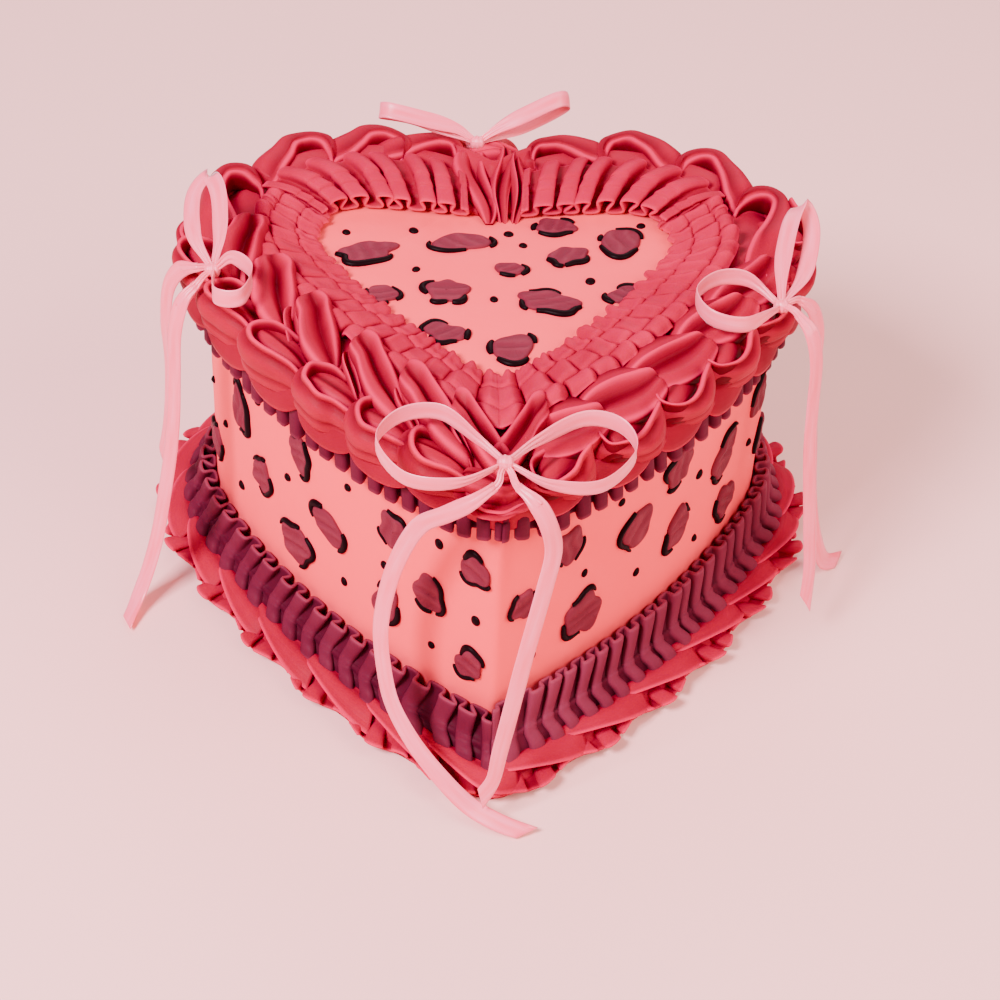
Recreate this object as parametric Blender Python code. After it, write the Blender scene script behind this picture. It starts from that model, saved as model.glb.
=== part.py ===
"""A heart shaped celebration cake: piped ruffle borders, painted spots and four ribbon bows.

Lengths in this file are millimetres, and METRE turns them into metres where a mesh is made.
The cake stands on z = 0 with its front tip along -Y. Right is +X.

Places on the cake are given by (side, along, out, z): side is 1 for the right half and -1 for
the left, along runs from 0 at the front tip to 1 at the cleft of the heart, out is the distance
from the body's wall (negative towards the middle of the top) and z is the height.
"""
import math
import random

import bmesh
import bpy
import numpy as np
from mathutils import Vector
from mathutils.geometry import tessellate_polygon

METRE = 0.001
GAP = 0.3
WALL_GAP = 0.7
CLEFT_GAP = 1.2

# Heart body
HEIGHT = 120.0
TIP_Y = -94.0
LOBE_X = 44.0
LOBE_Y = 41.5
LOBE_RADIUS = 58.0
SIDE_RADIUS = 300.0
BODY_SOFTENING = 1.3
SIDE_STATIONS = 8
LOBE_STATIONS = 17
CORNER_STATIONS = (1.2, 3.0, 5.5)

# Smooth field inside the top ruffles
FIELD_TIP_Y = -40.0
FIELD_LOBE_X = 46.0
FIELD_LOBE_Y = 45.0
FIELD_LOBE_RADIUS = 19.5
FIELD_CLEFT_Y = 58.5
FIELD_SOFTENING = 5.0
FIELD_OUT = -38.0
FIELD_TURN_END = math.radians(95.0)

# Outer guide line of the borders
GUIDE_OUT = 20.0
GUIDE_SOFTENING = 6.0

# Top borders
TOP_END = 0.953
RIM_INSIDE = 6.4
PETAL_PITCH = 26.0
PETAL_STEPS = 5
INNER_PITCH = 12.8
INNER_STEPS = 3
FRILL_PITCH = 7.6
FRILL_STEPS = 2
CLEFT_STEPS = 14
CLEFT_RIDGES = 3.5
FRILL_TOP = HEIGHT - GAP
FRILL_LOW = 96.5
FRILL_OUT = 5.6

# The hanging edges rise towards the front tip
TIP_RISE = 7.0
TIP_REACH = 15.0
HANGING_BELOW = 108.0

# Base borders
PLUM_TOP = {1: 29.5, -1: 24.0}
PLUM_PITCH = {1: 7.4, -1: 9.6}
PLUM_OUT = 11.5
PLUM_STEPS = 2
BASE_PITCH = 26.0
BASE_STEPS = 4

# Painted spots and dots
SPOT_SINK = 1.0
SPOT_RISE = 1.0
SPOT_DOME = 1.7
DOT_RISE = 0.8
SPOT_SHOULDER = 0.16
SPOT_SIDES = 7
DOT_SIDES = 4
DOT_RADIUS = 2.0

# Ribbon
RIBBON_WIDTH = 7.0
RIBBON_THICK = 0.7
LOOP_STATIONS = 10
TAIL_STATIONS = 11
TAIL_SLANT = 6.0
PATH_STEPS = 12
KNOT_SIZE = (7.5, 6.5, 6.5)
KNOT_REACH = 1.6
PINCH = 0.4

# Spots on the top: x, y, length, width, turn in degrees
TOP_SPOTS = [
    (-45, 38, 21, 13, 12), (-12, 45, 20, 12, 10), (22, 56, 15, 9, -5), (45, 47, 16, 17, 60),
    (5, 29, 11, 8, 0), (26, 38, 14, 12, 20), (-40, 12, 12, 13, 0), (-17, 15, 15, 14, 20),
    (18, 10, 20, 14, -12), (45, 15, 13, 11, 15), (-18, -9, 14, 12, -15), (5, -17, 16, 15, 40)]
TOP_DOTS = [
    (-53, 50), (-29, 52), (-28, 28), (5, 51), (10, 44), (53, 58), (33, 23), (-1, 11), (-33, -2), (31, -8)]

# Spots on the wall: side, distance from the tip, z, length along, height, turn in degrees
WALL_SPOTS = [
    (-1, 132, 77, 13, 19, 15), (-1, 92, 84, 13, 15, 20), (-1, 117, 57, 13, 14, 10),
    (-1, 95, 41, 19, 18, 35), (-1, 76, 62, 17, 14, -20), (-1, 44, 81, 14, 14, 25),
    (-1, 47, 46, 14, 19, -10), (-1, 28, 63, 14, 15, 0), (-1, 9, 84, 12, 13, 10),
    (-1, 10, 41, 12, 12, -20), (1, 29, 84, 14, 16, -20), (1, 64, 72, 16, 18, -25),
    (1, 89, 56, 16, 18, -30), (1, 86, 85, 15, 15, 0), (1, 119, 69, 16, 22, -30),
    (1, 125, 44, 17, 16, -20), (1, 39, 48, 19, 20, -30), (1, 11, 68, 11, 13, 0),
    (1, 148, 76, 14, 18, 0),
    (-1, 158, 44, 16, 15, 20), (-1, 176, 82, 14, 15, -15), (-1, 198, 58, 18, 14, 10),
    (-1, 222, 84, 15, 14, 25), (-1, 240, 47, 15, 18, -20), (-1, 266, 72, 18, 15, 0),
    (-1, 292, 48, 14, 16, 20),
    (1, 160, 50, 15, 16, 15), (1, 184, 74, 17, 14, -20), (1, 208, 46, 14, 16, 10),
    (1, 230, 80, 15, 15, 30), (1, 250, 54, 17, 14, -10), (1, 274, 80, 14, 14, 15),
    (1, 296, 52, 15, 17, -20)]
WALL_DOTS = [
    (-1, 119, 89), (-1, 146, 60), (-1, 160, 70), (-1, 100, 68), (-1, 134, 40), (-1, 66, 86),
    (-1, 68, 42), (-1, 48, 63), (-1, 24, 87), (-1, 8, 62), (-1, 26, 40), (-1, 186, 40),
    (-1, 208, 82), (-1, 220, 62), (-1, 250, 84), (-1, 276, 44),
    (1, 38, 67), (1, 66, 50), (1, 103, 41), (1, 54, 89), (1, 101, 72), (1, 16, 42), (1, 117, 88),
    (1, 143, 58), (1, 172, 90), (1, 194, 58), (1, 228, 60), (1, 252, 76), (1, 276, 60)]

# Knots of the four bows
KNOTS = {
    "front": Vector((0.0, -95.0, 134.6)),
    "left": Vector((-97.0, 6.0, 133.5)),
    "right": Vector((96.0, -4.0, 130.5)),
    "back": Vector((-6.0, 93.0, 131.8))}

# Ribbon loops: points that the loop passes, and the way its width lies
LOOPS = {
    "front": [
        ([(-9, -86, 137), (-20, -76, 139), (-33, -77, 138), (-40, -87, 135), (-31, -99, 131),
          (-15, -102, 132)], (0.0, 0.0, 1.0)),
        ([(10, -87, 137), (25, -78, 139), (37, -79, 137), (41, -89, 134), (30, -101, 131),
          (14, -102, 132)], (0.0, 0.0, 1.0))],
    "left": [
        ([(-95, 16, 141), (-96, 30, 148), (-100, 40, 149), (-105, 34, 145), (-104, 18, 140)],
         (0.9, -0.35, 0.25)),
        ([(-90, 5, 139.5), (-83, -3, 139), (-86, -14, 137), (-95, -12, 136)], (0.0, 0.3, 1.0))],
    "right": [
        ([(85, 4, 135.5), (74, 1, 138), (66, -9, 138), (70, -20, 137), (82, -21, 135)],
         (0.0, 0.15, 1.0)),
        ([(97, 10, 138), (101, 26, 145), (106, 36, 145), (109, 28, 140), (105, 10, 134)],
         (0.9, 0.3, 0.3))],
    "back": [
        ([(-14, 95, 136.5), (-28, 97, 139.5), (-39, 99, 141), (-41.5, 103, 138), (-28, 102, 136)],
         (0.1, 0.75, 0.65)),
        ([(2, 95, 137), (13, 98, 142), (24, 102, 145.5), (27, 106, 141.5), (14, 102, 135.5)],
         (-0.1, 0.75, 0.65))]}

# Ribbon tails: the knot, points that the tail passes, and the way its outer face looks at the
# start and at the end
TAILS = {
    "front_left": ([(-3, -101, 130), (-10, -105, 127), (-18, -103, 120), (-26, -97, 110),
                    (-32, -93, 94), (-36, -91, 77), (-38, -91, 60), (-37, -93, 45),
                    (-34, -98, 32), (-27, -106, 22), (-18, -114, 14), (-8, -121, 7),
                    (2, -126, 4), (12, -129, 2.0)],
                   (-0.5, -0.86, 0.0), (-0.3, -0.4, 0.87)),
    "front_right": ([(4, -101, 130), (10, -106, 127), (14, -107, 119), (16, -106, 108),
                     (14, -108, 95), (11, -111, 80), (8, -114, 65), (5, -117, 48),
                     (2, -120, 32), (0, -122, 20), (-4, -124, 13)],
                    (0.3, -0.95, 0.0), (0.2, -0.9, 0.3)),
    "left_front": ([(-102, 1, 131), (-107, -2, 126), (-110, -3, 114), (-111, -3, 98),
                    (-112, -4, 80), (-114, -5, 62), (-117, -7, 44), (-120, -10, 28),
                    (-124, -14, 14), (-128, -20, 5), (-131, -29, 1.6)],
                   (-0.6, -0.8, 0.0), (-0.5, -0.7, 0.5)),
    "left_back": ([(-102, 11, 131), (-109, 15, 127), (-114, 19, 116), (-116, 22, 98),
                   (-116, 26, 80), (-117, 29, 62), (-119, 31, 44), (-122, 34, 28)],
                  (-0.7, -0.7, 0.0), (-0.8, -0.6, 0.0)),
    "right_front": ([(101, -9, 131), (106, -13, 126), (109, -14, 114), (110, -14, 98),
                     (111, -15, 80), (113, -16, 62), (115, -19, 44), (116, -25, 30),
                     (115, -32, 19)],
                    (0.6, -0.8, 0.0), (0.5, -0.85, 0.2)),
    "right_back": ([(103, 0.5, 130), (108, 2.5, 125.5), (112, 4, 114), (113, 4, 98), (114, 3, 80),
                    (116, 2, 62), (118, 1, 44), (121, 1, 28), (125, 3, 14), (129, 7, 5),
                    (135, 12, 1.6)],
                   (0.7, -0.7, 0.0), (0.5, -0.6, 0.6)),
    "back_left": ([(-9, 97.5, 127.5), (-14, 103, 125), (-18, 108, 117), (-19, 110, 102),
                   (-20, 111, 84), (-21, 113, 66), (-22, 116, 48), (-23, 119, 33),
                   (-25, 124, 18)],
                  (0.0, 1.0, 0.0), (0.0, 1.0, 0.2)),
    "back_right": ([(-2, 97.5, 127.5), (4, 103, 125), (8, 107, 117), (10, 110, 102), (12, 111, 84),
                    (14, 113, 66), (15, 115, 50), (16, 118, 36)],
                   (0.0, 1.0, 0.0), (0.1, 1.0, 0.1))}

COLOURS = {
    "body_icing": ((0.93, 0.33, 0.32), 0.45),
    "hot_pink_icing": ((0.85, 0.06, 0.11), 0.42),
    "plum_icing": ((0.30, 0.05, 0.09), 0.5),
    "ribbon": ((0.93, 0.45, 0.55), 0.35)}


# Guide lines of the heart

def even_spacing(points, count):
    """The same line with count points at equal steps."""
    steps = np.hypot(*np.diff(points, axis=0).T)
    walked = np.concatenate([[0.0], np.cumsum(steps)])
    wanted = np.linspace(0.0, walked[-1], count)
    return np.stack([np.interp(wanted, walked, points[:, 0]),
                     np.interp(wanted, walked, points[:, 1])], 1)


def arc(centre, radius, start, end, count=120):
    angles = np.linspace(start, end, count)
    return np.stack([centre[0] + radius * np.cos(angles), centre[1] + radius * np.sin(angles)], 1)


def half_heart(tip_y, lobe_x, lobe_y, lobe_radius, grow=0.0, cleft_y=None):
    """Right half of a heart, from its tip to its cleft: a long side arc, then the lobe's arc."""
    tip = np.array([0.0, tip_y])
    lobe = np.array([lobe_x, lobe_y])
    reach = np.hypot(*(lobe - tip))
    ahead = (lobe - tip) / reach
    along = (SIDE_RADIUS ** 2 - (SIDE_RADIUS - lobe_radius) ** 2 + reach ** 2) / (2 * reach)
    aside = math.sqrt(SIDE_RADIUS ** 2 - along ** 2)
    centre = tip + ahead * along + np.array([-ahead[1], ahead[0]]) * aside
    meeting = lobe - centre
    meeting_angle = math.atan2(meeting[1], meeting[0])
    tip_angle = -math.acos(-centre[0] / (SIDE_RADIUS + grow))
    side = arc(centre, SIDE_RADIUS + grow, tip_angle, meeting_angle)
    if cleft_y is None:
        end_angle = math.pi - math.acos(lobe_x / (lobe_radius + grow))
        return np.vstack([side, arc(lobe, lobe_radius + grow, meeting_angle, end_angle)[1:]])
    rounding = arc(lobe, lobe_radius, meeting_angle, FIELD_TURN_END)[1:]
    return np.vstack([side, rounding, [[0.0, cleft_y]]])


def softened(half, blur, count=1200):
    """The half outline with its tip and cleft rounded by a bell-shaped average of width blur."""
    loop = np.vstack([half, (half * [-1.0, 1.0])[::-1][1:]])
    loop = even_spacing(loop, 2 * count + 1)[:-1]
    length = np.hypot(*np.diff(np.vstack([loop, loop[:1]]), axis=0).T).sum()
    frequency = np.fft.fftfreq(len(loop), length / len(loop))
    damping = np.exp(-2.0 * (math.pi * frequency * blur) ** 2)[:, None]
    smooth = np.real(np.fft.ifft(np.fft.fft(loop, axis=0) * damping, axis=0))
    right = smooth[:count + 1]
    right[:, 0] = np.maximum(right[:, 0], 0.0)
    right[0, 0] = right[-1, 0] = 0.0
    return even_spacing(right, count + 1)


BODY_LINE = softened(half_heart(TIP_Y, LOBE_X, LOBE_Y, LOBE_RADIUS), BODY_SOFTENING)
GUIDE_LINE = softened(half_heart(TIP_Y, LOBE_X, LOBE_Y, LOBE_RADIUS, GUIDE_OUT), GUIDE_SOFTENING)
FIELD_LINE = softened(half_heart(FIELD_TIP_Y, FIELD_LOBE_X, FIELD_LOBE_Y, FIELD_LOBE_RADIUS,
                                 cleft_y=FIELD_CLEFT_Y), FIELD_SOFTENING)
SHARES = np.linspace(0.0, 1.0, len(BODY_LINE))
BODY_LENGTH = np.hypot(*np.diff(BODY_LINE, axis=0).T).sum()


def on_line(line, along):
    return np.array([np.interp(along, SHARES, line[:, 0]), np.interp(along, SHARES, line[:, 1])])


def place(side, along, out, z):
    """A point beside the heart's wall, in millimetres. Both halves stop half a gap from x = 0."""
    wall = on_line(BODY_LINE, along)
    if out < 0.0:
        point = wall + (on_line(FIELD_LINE, along) - wall) * out / FIELD_OUT
    else:
        point = wall + (on_line(GUIDE_LINE, along) - wall) * out / GUIDE_OUT
    return Vector((side * (point[0] + GAP / 2), point[1], z))


def ramp(value):
    """0 to 1 with soft ends."""
    value = min(1.0, max(0.0, value))
    return value * value * (3.0 - 2.0 * value)


# Meshes

def new_object(name, bm, material):
    bmesh.ops.triangulate(bm, faces=bm.faces[:], quad_method="SHORT_EDGE", ngon_method="EAR_CLIP")
    bmesh.ops.recalc_face_normals(bm, faces=bm.faces[:])
    for vertex in bm.verts:
        vertex.co *= METRE
    mesh = bpy.data.meshes.new(name)
    bm.to_mesh(mesh)
    bm.free()
    mesh.materials.append(materials[material])
    obj = bpy.data.objects.new(name, mesh)
    bpy.context.scene.collection.objects.link(obj)
    return obj


def skin(bm, rings, section=None):
    """Faces between rings of points, and a face at each end, cut up as the flat section is."""
    made = [[bm.verts.new(point) for point in ring] for ring in rings]
    count = len(made[0])
    for first, second in zip(made, made[1:]):
        for i in range(count):
            j = (i + 1) % count
            bm.faces.new((first[i], first[j], second[j], second[i]))
    for ring in (made[0], made[-1]):
        if section is None:
            bm.faces.new(ring)
        else:
            corners = [Vector((out, z, 0.0)) for out, z in section]
            for triangle in tessellate_polygon([corners]):
                bm.faces.new([ring[i] for i in triangle])


def piped_run(name, side, rows, pitch, steps, end, material, seed, fade_length=30.0, tip_rise=0.0):
    """A piped border along half the heart.

    Each row is (out, z, swell out, swell z, lean): a corner of the border's section, how far a
    wave pushes it, and how far along the border its waves are carried. There are steps stations
    to a wave, and the waves differ a little in length and strength. Low corners of a hanging
    border rise by tip_rise at the front tip.
    """
    dice = random.Random(seed)
    length = BODY_LENGTH * end
    waves = round(length / pitch)
    strength = [dice.uniform(0.82, 1.15) for _ in range(waves + 1)]
    drift = [dice.uniform(-0.1, 0.1) * pitch for _ in range(waves + 1)]
    drift[0] = drift[-1] = 0.0
    rings = []
    for i in range(waves * steps + 1):
        wave, part = divmod(i, steps)
        part /= steps
        nearby = min(wave + 1, waves)
        walked = length * i / (waves * steps) + drift[wave] * (1 - part) + drift[nearby] * part
        power = strength[wave] * (1 - part) + strength[nearby] * part
        near_end = min(walked, length - walked)
        fade = ramp(near_end / fade_length)
        swell = -math.cos(2 * math.pi * part) * power * ramp(near_end / (0.6 * pitch))
        rise = tip_rise * math.exp(-(walked / TIP_REACH) ** 2)
        ring = []
        for out, z, swell_out, swell_z, lean in rows:
            if z < HANGING_BELOW:
                z += rise
            along = (walked + lean * fade) / BODY_LENGTH
            along = min(end, max(0.0, along))
            ring.append(place(side, along, out + swell * swell_out, z + swell * swell_z))
        rings.append(ring)
    bm = bmesh.new()
    skin(bm, rings, [row[:2] for row in rows])
    return new_object(name, bm, material)


def apply_union(obj, group):
    """Fuses a collection of closed shapes to an object and removes the collection."""
    union = obj.modifiers.new("union", "BOOLEAN")
    union.operation = "UNION"
    union.operand_type = "COLLECTION"
    union.collection = group
    union.solver = "MANIFOLD"
    fused = bpy.data.meshes.new_from_object(obj.evaluated_get(bpy.context.evaluated_depsgraph_get()))
    obj.modifiers.clear()
    obj.data = fused
    bm = bmesh.new()
    bm.from_mesh(fused)
    bmesh.ops.triangulate(bm, faces=bm.faces[:], quad_method="SHORT_EDGE", ngon_method="EAR_CLIP")
    bm.to_mesh(fused)
    bm.free()
    for piece in list(group.objects):
        bpy.data.objects.remove(piece, do_unlink=True)
    bpy.data.collections.remove(group)


def side_name(stem, side):
    return stem + ("_right" if side > 0 else "_left")


# Cake body with its painted spots

def relief(points, normals, centre, centre_normal, rise, dome, name):
    """A low mound whose foot is sunk in the icing."""
    bm = bmesh.new()
    foot = [bm.verts.new(p - n * SPOT_SINK) for p, n in zip(points, normals)]
    shoulder = [bm.verts.new(p + (centre - p) * SPOT_SHOULDER + n * rise) for p, n in zip(points, normals)]
    crown = bm.verts.new(centre + centre_normal * dome)
    count = len(points)
    for i in range(count):
        j = (i + 1) % count
        bm.faces.new((foot[i], foot[j], shoulder[j], shoulder[i]))
        bm.faces.new((shoulder[i], shoulder[j], crown))
    bm.faces.new(foot)
    return new_object(name, bm, "plum_icing")


def blob(length, width, turn, sides, dice):
    """Corners of an uneven round shape, as offsets from its middle."""
    corners = []
    for i in range(sides):
        angle = 2 * math.pi * i / sides
        size = dice.uniform(0.86, 1.08)
        u = 0.5 * length * size * math.cos(angle)
        v = 0.5 * width * size * math.sin(angle)
        spin = math.radians(turn)
        corners.append((u * math.cos(spin) - v * math.sin(spin), u * math.sin(spin) + v * math.cos(spin)))
    return corners


def wall_point(side, distance, z):
    """A point on the body's wall and the wall's normal there."""
    step = 1.0 / BODY_LENGTH
    along = distance / BODY_LENGTH
    here = on_line(BODY_LINE, along)
    ahead = on_line(BODY_LINE, along + step) - on_line(BODY_LINE, along - step)
    normal = Vector((side * ahead[1], -ahead[0], 0.0)).normalized()
    return Vector((side * here[0], here[1], z)), normal


def painted_marks():
    dice = random.Random(11)
    marks = []
    up = Vector((0, 0, 1))
    flat = [(x, y, blob(length, width, turn, SPOT_SIDES, dice), SPOT_RISE, SPOT_DOME)
            for x, y, length, width, turn in TOP_SPOTS]
    flat += [(x, y, blob(2 * DOT_RADIUS, 2 * DOT_RADIUS, 0, DOT_SIDES, dice), DOT_RISE, DOT_RISE)
             for x, y in TOP_DOTS]
    for x, y, corners, rise, dome in flat:
        points = [Vector((x + u, y + v, HEIGHT)) for u, v in corners]
        centre = Vector((x, y, HEIGHT))
        marks.append(relief(points, [up] * len(points), centre, up, rise, dome, "mark"))
    upright = [(side, s, z, blob(length, height, turn, SPOT_SIDES, dice), SPOT_RISE, SPOT_DOME)
               for side, s, z, length, height, turn in WALL_SPOTS]
    upright += [(side, s, z, blob(2 * DOT_RADIUS, 2 * DOT_RADIUS, 0, DOT_SIDES, dice), DOT_RISE, DOT_RISE)
                for side, s, z in WALL_DOTS]
    for side, s, z, corners, rise, dome in upright:
        placed = [wall_point(side, s + u, z + v) for u, v in corners]
        centre, normal = wall_point(side, s, z)
        marks.append(relief([p for p, n in placed], [n for p, n in placed], centre, normal,
                            rise, dome, "mark"))
    return marks


def make_cake():
    """The body is solid. Its spots and dots are low relief fused to it."""
    widest = SHARES[BODY_LINE[:, 0].argmax()]
    shares = list(np.linspace(0.0, widest, SIDE_STATIONS + 1))
    shares += list(np.linspace(widest, 1.0, LOBE_STATIONS + 1))[1:]
    shares += [distance / BODY_LENGTH for distance in CORNER_STATIONS]
    shares += [1.0 - distance / BODY_LENGTH for distance in CORNER_STATIONS]
    shares.sort()
    right = [on_line(BODY_LINE, share) for share in shares]
    outline = right + [p * [-1.0, 1.0] for p in right[-2:0:-1]]
    bm = bmesh.new()
    skin(bm, [[Vector((x, y, z)) for x, y in outline] for z in (0.0, HEIGHT)], outline)
    cake = new_object("cake", bm, "body_icing")
    group = bpy.data.collections.new("marks")
    for mark in painted_marks():
        bpy.context.scene.collection.objects.unlink(mark)
        group.objects.link(mark)
    apply_union(cake, group)


# Borders

def make_top_border(side):
    """Large petals: an inner row lying on the top and an outer row hanging over the rim."""
    top = HEIGHT + GAP
    rows = [(-23.6, top, 0, 0, 0), (-23.2, top + 5, 0, 1.5, 12), (-17.5, top + 11, 0, 3.2, 12),
            (-9.5, top + 8, 0, 1.8, 3), (-2.5, top + 11.5, 0.4, 3.2, 0), (8.0, top + 5.5, 1.1, 2.0, -5),
            (10.6, top - 5, 2.0, 0.4, -8), (10.0, top - 13.0, 1.0, -3.2, -8),
            (RIM_INSIDE, top - 13.0, 0, -2.8, 0), (RIM_INSIDE, top, 0, 0, 0)]
    piped_run(side_name("top_border", side), side, rows, PETAL_PITCH, PETAL_STEPS, TOP_END,
              "hot_pink_icing", 21 + side, 50.0, TIP_RISE)


def make_inner_ruffle(side):
    """Box pleats round the smooth field, with a rib along their middle."""
    top = HEIGHT + GAP
    rows = [(-37.2, top, 0, 0, 0), (-37.6, top + 2.6, -0.9, 0.9, 0), (-31.0, top + 6.4, 0, 1.3, 1.5),
            (-24.4, top + 9.0, 0, 1.6, 0), (-24.2, top, 0, 0, 0)]
    piped_run(side_name("inner_ruffle", side), side, rows, INNER_PITCH, INNER_STEPS, TOP_END,
              "hot_pink_icing", 31 + side)


def make_cleft_petals():
    """Long petals that run inwards from the cleft between the two halves of the top border."""
    top = HEIGHT + GAP
    rows = [(-37.0, top, 0), (-37.5, top + 3, 0.6), (-29, top + 8, 1.4), (-14, top + 10.5, 1.6),
            (0, top + 11, 1.6), (6, top + 5, 1.4), (9.3, top - 6, 1.0), (8.8, top - 13.5, 0.6),
            (RIM_INSIDE, top - 13.5, 0), (RIM_INSIDE, top, 0)]
    reach = 1.0 - TOP_END - CLEFT_GAP / BODY_LENGTH
    rings = []
    for i in range(CLEFT_STEPS + 1):
        across = 2.0 * i / CLEFT_STEPS - 1.0
        side = 1 if across > 0 else -1
        ridge = math.cos(2 * math.pi * CLEFT_RIDGES * across)
        ring = []
        for out, z, swell in rows:
            point = place(side, 1.0 - abs(across) * reach, out, z + swell * ridge)
            point.x = point.x - side * GAP / 2
            ring.append(point)
        rings.append(ring)
    bm = bmesh.new()
    skin(bm, rings, [row[:2] for row in rows])
    new_object("cleft_petals", bm, "hot_pink_icing")


def make_under_frill(side):
    """Small plum pleats that show under the top border."""
    rows = [(WALL_GAP, FRILL_TOP, 0, 0, 0), (WALL_GAP, FRILL_LOW, 0, 0.7, 0),
            (FRILL_OUT - 1.2, FRILL_LOW, 1.0, -0.9, 0), (FRILL_OUT - 1.4, FRILL_TOP, 0, 0, 0)]
    piped_run(side_name("under_frill", side), side, rows, FRILL_PITCH, FRILL_STEPS, 1.0,
              "plum_icing", 41 + side, 12.0, TIP_RISE)


def make_plum_base(side):
    """Two rows of plum folds that meet in a crease, like an ear of wheat."""
    high = PLUM_TOP[side]
    crease = 7.5 + 0.48 * (high - 7.5)
    lean = 0.45 * PLUM_PITCH[side]
    rows = [(WALL_GAP, 7.0, 0, 0, 0), (WALL_GAP, high - 1.5, 0, 1.3, lean), (3.6, high, 1.3, 1.4, lean),
            (7.2, crease, 0.5, 0, 0), (PLUM_OUT, crease - 5.5, 1.1, 0, lean),
            (PLUM_OUT - 1.0, 8.6, 0.8, 0, lean)]
    piped_run(side_name("plum_base", side), side, rows, PLUM_PITCH[side], PLUM_STEPS, 1.0,
              "plum_icing", 51 + side, 15.0)


def make_pink_base(side):
    """A ruffled border that lies on the board under the plum one."""
    rows = [(WALL_GAP, 0, 0, 0, 0), (WALL_GAP, 6.4, 0, 0, 0), (13.6, 7.9, 0, 0, 0), (16.0, 10.4, 0.6, 1.3, 3),
            (19.2, 7.0, 1.9, 1.4, 0), (19.8, 2.2, 2.0, 0.6, -3), (18.2, 0, 1.2, 0, -3)]
    piped_run(side_name("pink_base", side), side, rows, BASE_PITCH, BASE_STEPS, 1.0,
              "hot_pink_icing", 61 + side, 25.0)


# Ribbons

def smooth_path(points, count):
    """Points along a smooth curve through the given ones, at equal steps."""
    points = [Vector(p) for p in points]
    points = [2 * points[0] - points[1]] + points + [2 * points[-1] - points[-2]]
    dense = []
    for a, b, c, d in zip(points, points[1:], points[2:], points[3:]):
        for i in range(PATH_STEPS):
            u = i / PATH_STEPS
            dense.append(0.5 * (2 * b + (c - a) * u + (2 * a - 5 * b + 4 * c - d) * u ** 2
                                + (3 * b - a - 3 * c + d) * u ** 3))
    dense.append(points[-2])
    walked = [0.0]
    for a, b in zip(dense, dense[1:]):
        walked.append(walked[-1] + (b - a).length)
    wanted = np.linspace(0.0, walked[-1], count)
    columns = [np.interp(wanted, walked, [p[axis] for p in dense]) for axis in range(3)]
    return [Vector(p) for p in zip(*columns)]


def strip_rings(path, across, pinch=False, slant=0.0):
    """Four corners of the ribbon at each point. It may be pinched at both ends or cut at a slant."""
    rings = []
    for i, point in enumerate(path):
        ahead = (path[min(i + 1, len(path) - 1)] - path[max(i - 1, 0)]).normalized()
        wide = (across[i] - ahead * across[i].dot(ahead)).normalized()
        face = ahead.cross(wide)
        near_end = min(i, len(path) - 1 - i) / (len(path) - 1)
        width = RIBBON_WIDTH
        if pinch:
            width *= PINCH + (1.0 - PINCH) * ramp(near_end / 0.25)
        ring = []
        for u, v in ((-1, -1), (1, -1), (1, 1), (-1, 1)):
            corner = point + wide * (0.5 * u * width) + face * (0.5 * v * RIBBON_THICK)
            if i == len(path) - 1:
                corner += ahead * (0.5 * u * slant)
            ring.append(corner)
        rings.append(ring)
    return rings


def make_bow(name):
    """Loops of ribbon fused to the knot that ties them."""
    knot = KNOTS[name]
    bm = bmesh.new()
    bmesh.ops.create_icosphere(bm, subdivisions=1, radius=1.0)
    for vertex in bm.verts:
        vertex.co = knot + Vector([0.5 * size * c for size, c in zip(KNOT_SIZE, vertex.co)])
    bow = new_object("bow_" + name, bm, "ribbon")
    group = bpy.data.collections.new("loops")
    for points, axis in LOOPS[name]:
        points = [Vector(p) for p in points]
        start = knot + (points[0] - knot).normalized() * KNOT_REACH
        end = knot + (points[-1] - knot).normalized() * KNOT_REACH
        path = smooth_path([start] + points + [end], LOOP_STATIONS)
        bm = bmesh.new()
        skin(bm, strip_rings(path, [Vector(axis)] * len(path), pinch=True))
        loop = new_object("loop", bm, "ribbon")
        bpy.context.scene.collection.objects.unlink(loop)
        group.objects.link(loop)
    apply_union(bow, group)


def make_tail(name):
    """A ribbon end that hangs from its knot, cut diagonally."""
    points, first_face, last_face = TAILS[name]
    path = smooth_path(points, TAIL_STATIONS)
    across = []
    for i, point in enumerate(path):
        share = i / (len(path) - 1)
        face = Vector(first_face).lerp(Vector(last_face), share ** 2)
        ahead = path[min(i + 1, len(path) - 1)] - path[max(i - 1, 0)]
        across.append(face.cross(ahead).normalized())
    bm = bmesh.new()
    skin(bm, strip_rings(path, across, slant=TAIL_SLANT))
    return new_object("tail_" + name, bm, "ribbon")


def make_material(name, colour, roughness):
    material = bpy.data.materials.new(name)
    material.use_nodes = True
    shader = material.node_tree.nodes["Principled BSDF"]
    shader.inputs["Base Color"].default_value = (*colour, 1.0)
    shader.inputs["Roughness"].default_value = roughness
    return material


def centre_on_origin(standing):
    """Moves every piece so that the standing ones have x = 0 and y = 0 in the middle."""
    corners = np.array([vertex.co for obj in standing for vertex in obj.data.vertices])
    middle = 0.5 * (corners.min(axis=0) + corners.max(axis=0))
    for obj in bpy.context.scene.objects:
        for vertex in obj.data.vertices:
            vertex.co.x -= middle[0]
            vertex.co.y -= middle[1]


def make_all():
    make_cake()
    for side in (1, -1):
        make_top_border(side)
        make_inner_ruffle(side)
        make_under_frill(side)
        make_plum_base(side)
        make_pink_base(side)
    make_cleft_petals()
    for name in KNOTS:
        make_bow(name)
    standing = list(bpy.context.scene.objects)
    for name in TAILS:
        make_tail(name)
    centre_on_origin(standing)


for leftover in list(bpy.data.objects):
    bpy.data.objects.remove(leftover, do_unlink=True)
materials = {name: make_material(name, *look) for name, look in COLOURS.items()}
make_all()
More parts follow.
